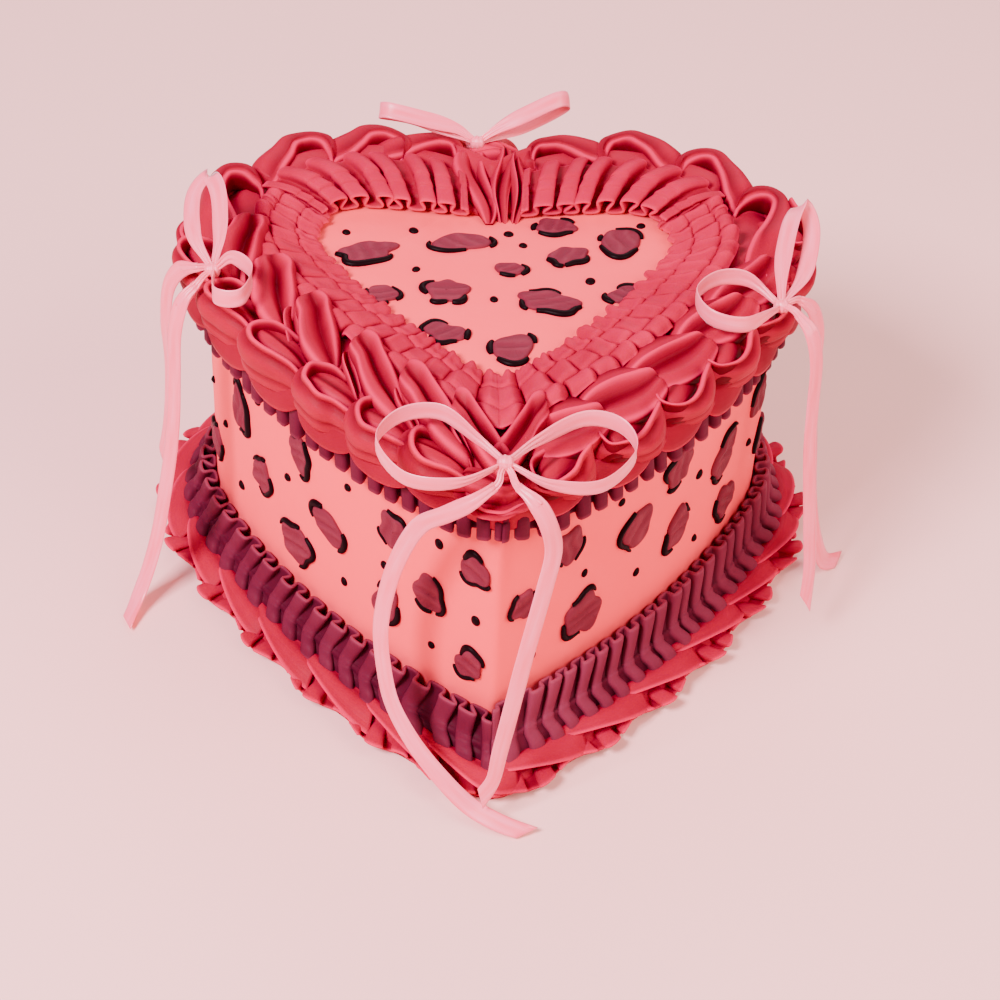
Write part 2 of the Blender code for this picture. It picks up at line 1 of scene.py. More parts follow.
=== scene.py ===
"""Looks of a heart shaped celebration cake: piped borders, painted spots and ribbon bows.

Lengths in the functions are millimetres, and METRE turns them into metres where a mesh is made.
Places on the cake are (w, out, z): w is the distance along the body's wall from the front tip,
positive on the right half and negative on the left, out is the distance from the wall, negative
towards the middle of the top, and z is the height.
"""
import math
import random

import bmesh
import bpy
import numpy as np
from mathutils import Matrix, Vector


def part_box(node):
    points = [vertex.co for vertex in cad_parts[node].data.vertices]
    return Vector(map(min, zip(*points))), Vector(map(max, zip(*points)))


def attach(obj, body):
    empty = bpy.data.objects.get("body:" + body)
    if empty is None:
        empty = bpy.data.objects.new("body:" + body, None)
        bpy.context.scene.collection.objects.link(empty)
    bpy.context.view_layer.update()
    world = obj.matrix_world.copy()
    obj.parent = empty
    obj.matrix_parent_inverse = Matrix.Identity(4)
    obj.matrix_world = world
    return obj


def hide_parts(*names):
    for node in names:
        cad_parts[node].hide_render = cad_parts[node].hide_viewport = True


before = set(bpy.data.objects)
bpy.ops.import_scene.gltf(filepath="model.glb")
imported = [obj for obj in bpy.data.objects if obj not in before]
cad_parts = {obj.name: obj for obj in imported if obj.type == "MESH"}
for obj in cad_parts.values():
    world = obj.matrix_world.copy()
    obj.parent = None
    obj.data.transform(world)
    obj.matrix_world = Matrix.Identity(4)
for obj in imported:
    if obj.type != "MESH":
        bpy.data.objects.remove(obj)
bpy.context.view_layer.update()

bl_info = {
    "name": "Heart Shaped Cake",
    "version": (1, 0, 0),
    "blender": (4, 5, 0),
    "location": "View3D > Sidebar > Cake",
    "description": "Builds a heart shaped cake with piped borders, painted spots and ribbon bows",
    "category": "Add Mesh"}

METRE = 0.001
GAP = 0.3
# Width of the painted highlight along the lips of sheets and shells
LIP_HIGHLIGHT_WIDTH = 0.75

# Heart body and the guide lines of its borders
HEIGHT = 120.0
TIP_Y = -94.0
LOBE_X = 44.0
LOBE_Y = 41.5
LOBE_RADIUS = 58.0
SIDE_RADIUS = 300.0
BODY_SOFTENING = 1.3
BODY_COLUMNS = 720
EDGE_ROUNDING = 1.6
FIELD_TIP_Y = -40.0
FIELD_LOBE_X = 46.0
FIELD_LOBE_Y = 45.0
FIELD_LOBE_RADIUS = 19.5
FIELD_CLEFT_Y = 58.5
FIELD_TURN_END = math.radians(95.0)
FIELD_SOFTENING = 5.0
FIELD_OUT = -38.0
GUIDE_OUT = 20.0
GUIDE_SOFTENING = 6.0
# Share of each half that the top border covers, up to the cleft petals
BORDER_END = 0.953
# Tiles are a little broader near the front tip, and a ruffle's line is measured at so many points
TILE_GROWTH = 0.88
RUN_SAMPLES = 800
WAVE_SHAKE = 0.16
HALVES = ((1, "right"), (-1, "left"))
# Seeds of the shakes. The halves of a border take the numbers beside theirs
MARKS_SEED = 5
CLEFT_SEED = 60
RIM_SEED = 70
RUFFLE_SEED = 80
FRILL_SEED = 90
PLUM_SEED = 100
PINK_SEED = 110

# Spots on the top: x, y, length, width, turn in degrees, and the black strokes at their edge,
# each as its first and last angle in degrees
TOP_SPOTS = [
    (-45, 38, 21, 11, 12, [(185, 330)]),
    (-12, 45, 20, 10, 10, [(175, 285), (330, 385)]),
    (22, 56, 15, 9, -5, [(165, 205), (225, 320), (35, 75)]),
    (45, 47, 15, 15, 60, [(200, 325), (20, 100), (150, 172)]),
    (5, 29, 11, 6.5, 0, [(-50, 45), (230, 285)]),
    (26, 38, 14, 10, 20, [(195, 260), (265, 350)]),
    (-40, 12, 11, 11, 0, [(150, 215), (240, 300), (-25, 50)]),
    (-17, 15, 14, 13, 20, [(130, 190), (225, 270), (285, 335)]),
    (18, 10, 20, 12, -12, [(60, 125), (185, 225), (240, 345)]),
    (45, 15, 12, 9, 15, [(40, 120), (175, 235), (270, 320)]),
    (-18, -9, 14, 10, -15, [(80, 185), (215, 300), (-30, 20)]),
    (5, -17, 16, 13, 40, [(150, 200), (230, 310), (20, 60)])]
TOP_DOTS = [
    (-53, 50), (-29, 52), (-28, 28), (5, 51), (10, 44), (53, 58), (33, 23), (-1, 11), (-33, -2), (31, -8)]

# Spots on the wall: w, z, length along, height, turn in degrees and strokes
WALL_SPOTS = [
    (-132, 77, 10, 18, 15, [(60, 120), (-100, 60)]),
    (-92, 84, 10, 14, 15, [(80, 130), (-90, 60)]),
    (-117, 57, 11, 14, 10, [(70, 150), (-110, 20)]),
    (-95, 41, 17, 16, 35, [(80, 160), (-75, 50)]),
    (-76, 62, 16, 12, -20, [(110, 190), (-60, 20)]),
    (-44, 81, 13, 13, 25, [(30, 110), (-40, 20), (200, 250)]),
    (-47, 46, 12, 17, -10, [(60, 130), (-70, 10)]),
    (-28, 63, 13, 14, 0, [(-60, 75), (225, 285)]),
    (-9, 84, 11, 12, 10, [(60, 150), (210, 330)]),
    (-10, 41, 11, 12, -20, [(20, 140), (210, 300)]),
    (29, 84, 13, 15, -20, [(150, 250), (-60, 0)]),
    (64, 72, 14, 17, -25, [(110, 250)]),
    (89, 56, 13, 17, -30, [(170, 260), (20, 60)]),
    (86, 85, 14, 14, 0, [(100, 200), (230, 280)]),
    (119, 69, 13, 20, -30, [(40, 130), (200, 280)]),
    (125, 44, 14, 15, -20, [(150, 280)]),
    (39, 48, 17, 18, -30, [(60, 130), (180, 260)]),
    (11, 68, 10, 12, 0, [(120, 220), (-30, 40)]),
    (148, 76, 13, 16, 0, [(60, 180)]),
    (-158, 44, 14, 13, 20, [(80, 200), (-60, 20)]),
    (-176, 82, 13, 14, -15, [(20, 120), (210, 270)]),
    (-198, 58, 16, 12, 10, [(170, 300)]),
    (-222, 84, 14, 13, 25, [(60, 150), (-70, 10)]),
    (-240, 47, 13, 16, -20, [(130, 250)]),
    (-266, 72, 15, 13, 0, [(20, 110), (190, 260)]),
    (-288, 48, 12, 15, 20, [(-70, 60)]),
    (160, 50, 14, 15, 15, [(100, 210), (-40, 20)]),
    (184, 74, 15, 13, -20, [(40, 160)]),
    (208, 46, 13, 15, 10, [(200, 320)]),
    (230, 80, 14, 13, 30, [(70, 150), (230, 300)]),
    (250, 54, 15, 13, -10, [(-40, 60), (150, 200)]),
    (274, 80, 13, 13, 15, [(100, 230)]),
    (292, 52, 12, 15, -20, [(20, 120), (210, 270)])]
WALL_DOTS = [
    (-119, 89), (-146, 60), (-160, 70), (-100, 68), (-134, 40), (-66, 86), (-68, 42), (-48, 63),
    (-24, 87), (-8, 62), (-26, 40), (-186, 40), (-208, 82), (-220, 62), (-250, 84), (-276, 44),
    (38, 67), (66, 50), (103, 41), (54, 89), (101, 72), (16, 42), (117, 88), (143, 58), (172, 90),
    (194, 58), (228, 60), (252, 76), (276, 60)]

# Sections of a spot and of a dot from the middle to the edge: share of the radius, height
SPOT_PROFILE = [(0.02, 0.78), (0.2, 0.8), (0.4, 0.85), (0.58, 0.92), (0.74, 1.0), (0.86, 1.02),
                (0.94, 0.85), (0.99, 0.55), (1.0, 0.15), (0.99, -0.35)]
DOT_PROFILE = [(0.03, 1.25), (0.35, 1.05), (0.7, 0.8), (0.92, 0.45), (1.0, 0.05), (0.95, -0.4)]

# Bows: each knot, and for each loop the points that it passes and the way its width lies
KNOTS = {
    "front": (0.0, -95.0, 134.6),
    "left": (-97.0, 6.0, 133.5),
    "right": (96.0, -4.0, 130.5),
    "back": (-6.0, 93.0, 131.8)}
KNOT_REACH = 1.6
KNOT_SIZE = (2.6, 2.3, 2.5)
NECK_LIFT = (0.0, 0.0, 0.8)
TAIL_SLANT = 3.0
LOOP_POINTS = 64
TAIL_POINTS = 70
NECK_POINTS = 24
LOOPS = {
    "front": [
        ([(-9, -86, 137), (-20, -76, 139), (-33, -77, 138), (-40, -87, 135), (-31, -99, 131),
          (-15, -102, 132)],
         (0.0, 0.25, 1.0), (0.0, -0.25, 1.0)),
        ([(10, -87, 137), (25, -78, 139), (37, -79, 137), (41, -89, 134), (30, -101, 131),
          (14, -102, 132)],
         (0.0, 0.25, 1.0), (0.0, -0.25, 1.0))],
    "left": [
        ([(-95, 16, 141), (-96, 30, 148), (-100, 40, 149), (-105, 34, 145), (-104, 18, 140)],
         (0.9, -0.35, 0.25), (0.9, -0.35, 0.25)),
        ([(-90, 5, 139.5), (-83, -3, 139), (-86, -14, 137), (-95, -12, 136)],
         (0.0, 0.3, 1.0), (0.0, 0.3, 1.0))],
    "right": [
        ([(85, 4, 135.5), (74, 1, 138), (66, -9, 138), (70, -20, 137), (82, -21, 135)],
         (0.0, 0.2, 1.0), (0.0, 0.1, 1.0)),
        ([(97, 10, 138), (101, 26, 145), (106, 36, 145), (109, 28, 140), (105, 10, 134)],
         (0.9, 0.3, 0.3), (0.9, 0.3, 0.3))],
    "back": [
        ([(-14, 95, 136.5), (-28, 97, 139.5), (-39, 99, 141), (-41.5, 103, 138), (-28, 102, 136)],
         (0.1, 0.75, 0.65), (0.1, 0.75, 0.65)),
        ([(2, 95, 137), (13, 98, 142), (24, 102, 145.5), (27, 106, 141.5), (14, 102, 135.5)],
         (-0.1, 0.75, 0.65), (-0.1, 0.75, 0.65))]}

# Ribbon tails: points that the tail passes, and the way its face looks at its start and end
TAILS = {
    "front_left": (
        [(-3, -101, 130), (-10, -105, 127), (-18, -103, 120), (-26, -97, 110), (-32, -93, 94),
         (-36, -91, 77), (-38, -91, 60), (-37, -93, 45), (-34, -98, 32), (-27, -106, 22),
         (-18, -114, 14), (-8, -121, 7), (2, -126, 4), (12, -129, 2.0)],
        (-0.5, -0.86, 0.0), (-0.3, -0.4, 0.87)),
    "front_right": (
        [(4, -101, 130), (10, -106, 127), (14, -107, 119), (16, -106, 108), (14, -108, 95),
         (11, -111, 80), (8, -114, 65), (5, -117, 48), (2, -120, 32), (0, -122, 20), (-4, -124, 13)],
        (0.3, -0.95, 0.0), (0.2, -0.9, 0.3)),
    "left_front": (
        [(-102, 1, 131), (-107, -2, 126), (-110, -3, 114), (-111, -3, 98), (-112, -4, 80),
         (-114, -5, 62), (-117, -7, 44), (-120, -10, 28), (-124, -14, 14), (-128, -20, 5),
         (-131, -29, 1.6)],
        (-0.6, -0.8, 0.0), (-0.5, -0.7, 0.5)),
    "left_back": (
        [(-102, 11, 131), (-109, 15, 127), (-114, 19, 116), (-116, 22, 98), (-116, 26, 80),
         (-117, 29, 62), (-119, 31, 44), (-122, 34, 28)],
        (-0.7, -0.7, 0.0), (-0.8, -0.6, 0.0)),
    "right_front": (
        [(101, -9, 131), (106, -13, 126), (109, -14, 114), (110, -14, 98), (111, -15, 80),
         (113, -16, 62), (115, -19, 44), (116, -25, 30), (115, -32, 19)],
        (0.6, -0.8, 0.0), (0.5, -0.85, 0.2)),
    "right_back": (
        [(103, 0.5, 130), (108, 2.5, 125.5), (112, 4, 114), (113, 4, 98), (114, 3, 80), (116, 2, 62),
         (118, 1, 44), (121, 1, 28), (125, 3, 14), (129, 7, 5), (135, 12, 1.6)],
        (0.7, -0.7, 0.0), (0.5, -0.6, 0.6)),
    "back_left": (
        [(-9, 97.5, 127.5), (-14, 103, 125), (-18, 108, 117), (-19, 110, 102), (-20, 111, 84),
         (-21, 113, 66), (-22, 116, 48), (-23, 119, 33), (-25, 124, 18)],
        (0.0, 1.0, 0.0), (0.0, 1.0, 0.2)),
    "back_right": (
        [(-2, 97.5, 127.5), (4, 103, 125), (8, 107, 117), (10, 110, 102), (12, 111, 84), (14, 113, 66),
         (15, 115, 50), (16, 118, 36)],
        (0.0, 1.0, 0.0), (0.1, 1.0, 0.1))}

# Top border, by side: w of each shell's rolled end, and distance of each leaf's head from the tip
SHELLS = {
    1: (12, 40, 67, 93, 119, 145, 171, 197, 223, 249, 273),
    -1: (-11, -33, -55, -79, -108, -135, -161, -188, -215, -242, -268)}
LEAVES = {1: (22, 44, 72, 101, 130, 158), -1: (24, 51, 79, 114, 146, 178)}
BACK_LEAVES = {-1: (208, 245, 274, 297), 1: (200, 233, 265, 296)}
FRONT_LEAF_END = 30
# Where the shells sink behind the cake, where their inner band starts, and where the tiles end
BACK_START = 175.0
BACK_BAND_START = 214.0
TILES_END = 205.0
BACK_SINK = 6.0
FIRST_SINK = 1.0
# Shells on the foot border of each half
BOARD_SHELLS = 12

# Plum folds at the foot, by side: height, number of waves, how much they loop, and their tone, which paints
# them lighter towards the highlight colour, the right half more
PLUM_FOLDS = {1: (29.5, 41, 0.4, 0.5), -1: (25.0, 32, 1.0, 0.1)}

# Camera: distance from the middle of the stand, height angle, heading, roll and place of the cake
CAMERA_DISTANCE = 900.0
CAMERA_RISE = math.radians(42.0)
CAMERA_ROLL = math.radians(3.0)
CAKE_TURN = math.radians(3.1)
CAKE_X = -3.7
CAKE_Y = -6.1
CAMERA_LENS = 85.75
CAMERA_SHIFT = (0.0048, 0.0676)

# Studio lights: place, side, power and colour
LIGHT_AIM = Vector((0.0, 0.0, 0.06))
LIGHTS = {
    "key_light": ((-0.75, -0.75, 1.15), 0.45, 62.0, (1.0, 0.93, 1.0)),
    "fill_light": ((0.95, -0.55, 0.85), 1.0, 26.0, (1.0, 0.90, 0.76)),
    "back_light": ((0.15, 1.1, 1.0), 0.9, 12.0, (1.0, 0.95, 0.95))}
WORLD_COLOUR = (1.0, 0.90, 0.90, 1.0)
WORLD_STRENGTH = 0.38


# Lines and rows

def bell(value, middle, width):
    """1 at the middle, and near 0 from twice the width on."""
    return np.exp(-((value - middle) / width) ** 2)


def ramp(value):
    """0 to 1 with soft ends."""
    value = np.clip(value, 0.0, 1.0)
    return value * value * (3.0 - 2.0 * value)


def unit(vectors):
    return vectors / (np.linalg.norm(vectors, axis=-1, keepdims=True) + 1e-9)


def distances(points):
    """How far along a line each of its points lies."""
    return np.concatenate([[0.0], np.cumsum(np.linalg.norm(np.diff(points, axis=0), axis=1))])


def even_spacing(points, count):
    """The same line with count points at equal steps."""
    walked = distances(points)
    wanted = np.linspace(0.0, walked[-1], count)
    return np.stack([np.interp(wanted, walked, column) for column in points.T], 1)


def smooth_rows(keys, count, ends=None):
    """Rows on a smooth curve through the key rows, which lie at even steps."""
    keys = np.asarray(keys, float)
    padded = np.vstack([2 * keys[0] - keys[1], keys, 2 * keys[-1] - keys[-2]])
    where = np.linspace(0.0, len(keys) - 1.0, count) if ends is None else ends * (len(keys) - 1.0)
    first = np.minimum(where.astype(int), len(keys) - 2)
    u = (where - first)[:, None]
    a, b, c, d = (padded[first + i] for i in range(4))
    return 0.5 * (2 * b + (c - a) * u + (2 * a - 5 * b + 4 * c - d) * u ** 2
                  + (3 * b - a - 3 * c + d) * u ** 3)


def smooth_path(points, count, steps=12):
    """Points along a smooth curve through the given ones, at equal steps."""
    points = np.array([tuple(p) for p in points], float)
    return even_spacing(smooth_rows(points, (len(points) - 1) * steps + 1), count)


def turns(count):
    """Angles round a circle, as one row."""
    return np.linspace(0.0, 2.0 * math.pi, count, endpoint=False)[None, :]


def blend(first, last, share):
    """Directions that go from the first to the last as share goes from 0 to 1."""
    return np.array(first) * (1.0 - share[:, None]) + np.array(last) * share[:, None]


def lip_steps(count):
    """0 to 1 in steps that are finer near both ends."""
    return 0.5 - 0.5 * np.cos(np.linspace(0.0, math.pi, count))


# Guide lines of the heart

def arc(centre, radius, start, end, count=120):
    angles = np.linspace(start, end, count)
    return np.stack([centre[0] + radius * np.cos(angles), centre[1] + radius * np.sin(angles)], 1)


def half_heart(tip_y, lobe_x, lobe_y, lobe_radius, grow=0.0, cleft_y=None):
    """Right half of a heart, from its tip to its cleft: a long side arc, then the lobe's arc."""
    tip = np.array([0.0, tip_y])
    lobe = np.array([lobe_x, lobe_y])
    reach = np.hypot(*(lobe - tip))
    ahead = (lobe - tip) / reach
    along = (SIDE_RADIUS ** 2 - (SIDE_RADIUS - lobe_radius) ** 2 + reach ** 2) / (2 * reach)
    aside = math.sqrt(SIDE_RADIUS ** 2 - along ** 2)
    centre = tip + ahead * along + np.array([-ahead[1], ahead[0]]) * aside
    meeting = lobe - centre
    meeting_angle = math.atan2(meeting[1], meeting[0])
    tip_angle = -math.acos(-centre[0] / (SIDE_RADIUS + grow))
    side = arc(centre, SIDE_RADIUS + grow, tip_angle, meeting_angle)
    if cleft_y is None:
        end_angle = math.pi - math.acos(lobe_x / (lobe_radius + grow))
        return np.vstack([side, arc(lobe, lobe_radius + grow, meeting_angle, end_angle)[1:]])
    rounding = arc(lobe, lobe_radius, meeting_angle, FIELD_TURN_END)[1:]
    return np.vstack([side, rounding, [[0.0, cleft_y]]])


def softened(half, blur, count=1200):
    """The half outline with its tip and cleft rounded by a bell-shaped average of width blur."""
    loop = np.vstack([half, (half * [-1.0, 1.0])[::-1][1:]])
    loop = even_spacing(loop, 2 * count + 1)[:-1]
    length = distances(np.vstack([loop, loop[:1]]))[-1]
    frequency = np.fft.fftfreq(len(loop), length / len(loop))
    damping = np.exp(-2.0 * (math.pi * frequency * blur) ** 2)[:, None]
    right = np.real(np.fft.ifft(np.fft.fft(loop, axis=0) * damping, axis=0))[:count + 1]
    right[:, 0] = np.maximum(right[:, 0], 0.0)
    right[0, 0] = right[-1, 0] = 0.0
    return even_spacing(right, count + 1)


BODY_LINE = softened(half_heart(TIP_Y, LOBE_X, LOBE_Y, LOBE_RADIUS), BODY_SOFTENING)
GUIDE_LINE = softened(half_heart(TIP_Y, LOBE_X, LOBE_Y, LOBE_RADIUS, GUIDE_OUT), GUIDE_SOFTENING)
FIELD_LINE = softened(half_heart(FIELD_TIP_Y, FIELD_LOBE_X, FIELD_LOBE_Y, FIELD_LOBE_RADIUS,
                                 cleft_y=FIELD_CLEFT_Y), FIELD_SOFTENING)
SHARES = np.linspace(0.0, 1.0, len(BODY_LINE))
BODY_LENGTH = distances(BODY_LINE)[-1]
RIM_LENGTH = BODY_LENGTH * BORDER_END
# The frame's origin is the middle of the standing pieces, so the lines are moved to the solids
SHIFT = np.array([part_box("pink_base_right")[0][0] / METRE - GAP / 2,
                  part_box("cake")[0][1] / METRE - BODY_LINE[0, 1]])


def to_frame(x, y, z):
    """Points of the lists above, as numbers or arrays, moved to the frame."""
    return np.stack(np.broadcast_arrays(x + SHIFT[0], y + SHIFT[1], z), -1)


def place(w, out, z):
    """Points beside the heart's wall, for numbers or arrays. w runs on past the tip and cleft."""
    w, out, z = np.broadcast_arrays(np.asarray(w, float), out, z)
    w = (w + BODY_LENGTH) % (2.0 * BODY_LENGTH) - BODY_LENGTH
    share = np.abs(w) / BODY_LENGTH
    inward = np.maximum(-out, 0.0) / -FIELD_OUT
    outward = np.maximum(out, 0.0) / GUIDE_OUT
    flat = []
    for axis in (0, 1):
        wall, field, guide = (np.interp(share, SHARES, line[:, axis])
                              for line in (BODY_LINE, FIELD_LINE, GUIDE_LINE))
        flat.append(wall + (field - wall) * inward + (guide - wall) * outward)
    return to_frame(np.where(w < 0.0, -1.0, 1.0) * flat[0], flat[1], z)


# Meshes

class Dough:
    """Closed shells of icing or ribbon that become one piece."""

    def __init__(self):
        self.points = []
        self.flow = []
        self.tone = []
        self.faces = []
        self.count = 0

    def loft(self, rings, flow=None, tone=0.0):
        """Joins closed rings of points, and closes both ends.

        flow is the UV in millimetres. tone is painted light: it goes from -1, painted shade in a deep
        groove, to 1, a painted highlight at a thin lip.
        """
        stations, corners = rings.shape[:2]
        index = self.count + np.arange(stations * corners).reshape(stations, corners)
        ahead = np.roll(index, -1, axis=1)
        quads = np.stack([index[:-1], ahead[:-1], ahead[1:], index[1:]], -1)
        self.faces.extend(quads.reshape(-1, 4).tolist())
        for ring in (index[0], index[-1]):
            for i in range(corners // 2 - 1):
                cap = [ring[i], ring[i + 1], ring[corners - 2 - i], ring[corners - 1 - i]]
                self.faces.append([int(c) for c in (cap if ring is index[0] else cap[::-1])])
        if flow is None:
            flow = np.zeros((stations, corners, 2))
            flow[..., 0] = np.arange(stations)[:, None]
            flow[..., 1] = np.arange(corners)[None, :]
        self.points.append(rings.reshape(-1, 3))
        self.tone.append(np.broadcast_to(tone, (stations, corners)).ravel())
        self.flow.append(flow.reshape(-1, 2))
        self.count += stations * corners

    def sheet(self, grid, thick, tone=0.0):
        """A sheet whose middle surface is grid, along by across, with rounded lips."""
        normal = unit(np.cross(np.gradient(grid, axis=0), np.gradient(grid, axis=1)))
        steps = np.linalg.norm(np.diff(grid, axis=1), axis=2)
        width = np.concatenate([np.zeros((len(grid), 1)), np.cumsum(steps, axis=1)], 1)
        near_lip = np.minimum(width, width[:, -1:] - width)
        fill = np.clip(2.0 * near_lip / thick, 0.0, 1.0)
        offset = normal * (0.5 * thick * (0.25 + 0.75 * np.sqrt(1.0 - (1.0 - fill) ** 2)))[..., None]
        rings = np.concatenate([grid + offset, (grid - offset)[:, ::-1]], axis=1)
        flow = np.stack([np.broadcast_to(distances(grid[:, 0])[:, None], width.shape), width], -1)
        # Painted highlight along both lips of the sheet; tone raises or lowers the painted light of the
        # whole sheet
        shade = bell(near_lip, 0.0, LIP_HIGHLIGHT_WIDTH) + tone
        self.loft(rings, np.concatenate([flow, flow[:, ::-1]], axis=1),
                  np.concatenate([shade, shade[:, ::-1]], axis=1))

    def piece(self, name, material, slot, nodes):
        """The finished object, which stands for the CAD nodes given."""
        mesh = bpy.data.meshes.new(name)
        points = np.concatenate(self.points) * METRE
        mesh.from_pydata(points.tolist(), [], self.faces)
        layer = mesh.uv_layers.new(name="flow")
        corner_of = np.empty(len(mesh.loops), dtype=np.int32)
        mesh.loops.foreach_get("vertex_index", corner_of)
        layer.data.foreach_set("uv", (np.concatenate(self.flow) * METRE)[corner_of].ravel())
        # The tone attribute carries the painted shade and painted highlights that the icing colours follow
        shades = mesh.attributes.new("tone", "FLOAT", "POINT")
        shades.data.foreach_set("value", np.concatenate(self.tone))
        turn_outwards(mesh)
        return finish_piece(bpy.data.objects.new(name, mesh), material, nodes)


def turn_outwards(mesh):
    """Makes the faces of each closed shell look outwards."""
    bm = bmesh.new()
    bm.from_mesh(mesh)
    bmesh.ops.recalc_face_normals(bm, faces=bm.faces[:])
    bm.to_mesh(mesh)
    bm.free()


def finish_piece(obj, material, nodes):
    """Links a piece, gives it its material and ties it to the frame."""
    bpy.context.scene.collection.objects.link(obj)
    obj.data.materials.append(material)
    obj.data.shade_smooth()
    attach(obj, "root")
    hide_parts(*nodes)
    return obj


# Materials

def new_material(name):
    """A material with its node tree and its shader."""
    material = bpy.data.materials.new(name)
    material.use_nodes = True
    return material, material.node_tree, material.node_tree.nodes["Principled BSDF"]


def add_noise(tree, coordinates, scale, detail, stretch=(1.0, 1.0, 1.0)):
    mapping = tree.nodes.new("ShaderNodeMapping")
    mapping.inputs["Scale"].default_value = stretch
    tree.links.new(coordinates, mapping.inputs["Vector"])
    noise = tree.nodes.new("ShaderNodeTexNoise")
    noise.inputs["Scale"].default_value = scale
    noise.inputs["Detail"].default_value = detail
    tree.links.new(mapping.outputs["Vector"], noise.inputs["Vector"])
    return noise.outputs["Fac"]


def add_bump(tree, shader, heights):
    """Chains bumps, each given as (height output, strength, distance in metres)."""
    normal = None
    for height, strength, distance in heights:
        bump = tree.nodes.new("ShaderNodeBump")
        bump.inputs["Strength"].default_value = strength
        bump.inputs["Distance"].default_value = distance
        tree.links.new(height, bump.inputs["Height"])
        if normal is not None:
            tree.links.new(normal, bump.inputs["Normal"])
        normal = bump.outputs["Normal"]
    tree.links.new(normal, shader.inputs["Normal"])


def add_colours(tree, shader, fac, tones, low=0.3, high=0.7):
    """Colours the shader with tones that follow each other as fac goes from low to high."""
    node = tree.nodes.new("ShaderNodeValToRGB")
    stops = node.color_ramp.elements
    while len(stops) < len(tones):
        stops.new(0.5)
    for stop, position, colour in zip(stops, np.linspace(low, high, len(tones)), tones):
        stop.position = position
        stop.color = (*colour, 1.0)
    tree.links.new(fac, node.inputs["Fac"])
    tree.links.new(node.outputs["Color"], shader.inputs["Base Color"])


def add_sum(tree, value, factor, term):
    """The value times the factor, plus a term that is a number or an output."""
    node = tree.nodes.new("ShaderNodeMath")
    node.operation = "MULTIPLY_ADD"
    tree.links.new(value, node.inputs[0])
    node.inputs[1].default_value = factor
    if isinstance(term, float):
        node.inputs[2].default_value = term
    else:
        tree.links.new(term, node.inputs[2])
    return node.outputs["Value"]


def set_inputs(shader, **values):
    """Sets inputs of the shader, whose names are given with _ for each space."""
    for name, value in values.items():
        shader.inputs[name.replace("_", " ")].default_value = value


def icing(name, tones, roughness, streaks=0.35, glow=0.12, glow_radius=(1.0, 0.1, 0.1)):
    """Buttercream: painted shade in its grooves and painted highlights at its lips, with fine grain and
    streaks.
    """
    material, tree, shader = new_material(name)
    where = tree.nodes.new("ShaderNodeTexCoord").outputs
    # Painted light: the tone attribute mixes in the deep colour as painted shade and the light colour as a
    # painted highlight
    shade = tree.nodes.new("ShaderNodeAttribute")
    shade.attribute_name = "tone"
    cloud = add_sum(tree, add_noise(tree, where["Object"], 60.0, 3.0), 0.3, 0.35)
    add_colours(tree, shader, add_sum(tree, shade.outputs["Fac"], 0.5, cloud), tones, 0.0, 1.0)
    lumps = add_noise(tree, where["Object"], 160.0, 2.0)
    lines = add_noise(tree, where["UV"], 1.0, 2.0, (25.0, 900.0, 1.0))
    grain = add_noise(tree, where["Object"], 900.0, 3.0)
    add_bump(tree, shader, [(lumps, 0.2, 0.0006), (lines, streaks, 0.0003), (grain, 0.12, 0.0002)])
    set_inputs(shader, Roughness=roughness, Specular_IOR_Level=0.03, Subsurface_Weight=glow,
               Subsurface_Radius=glow_radius, Subsurface_Scale=0.0025)
    return material


def satin(name, tones):
    """Ribbon: a fine weave along and across, with a silky sheen."""
    material, tree, shader = new_material(name)
    flow = tree.nodes.new("ShaderNodeTexCoord").outputs["UV"]
    add_colours(tree, shader, add_noise(tree, flow, 1.0, 2.0, (40.0, 500.0, 1.0)), tones)
    creases = add_noise(tree, flow, 1.0, 2.0, (90.0, 160.0, 1.0))
    threads = add_noise(tree, flow, 1.0, 1.0, (150.0, 5000.0, 1.0))
    add_bump(tree, shader, [(creases, 0.3, 0.0006), (threads, 0.35, 0.00008)])
    set_inputs(shader, Roughness=0.34, Sheen_Weight=0.25, Sheen_Roughness=0.3, Subsurface_Weight=0.15,
               Subsurface_Radius=(1.0, 0.5, 0.5), Subsurface_Scale=0.002)
    return material


# Piped shapes

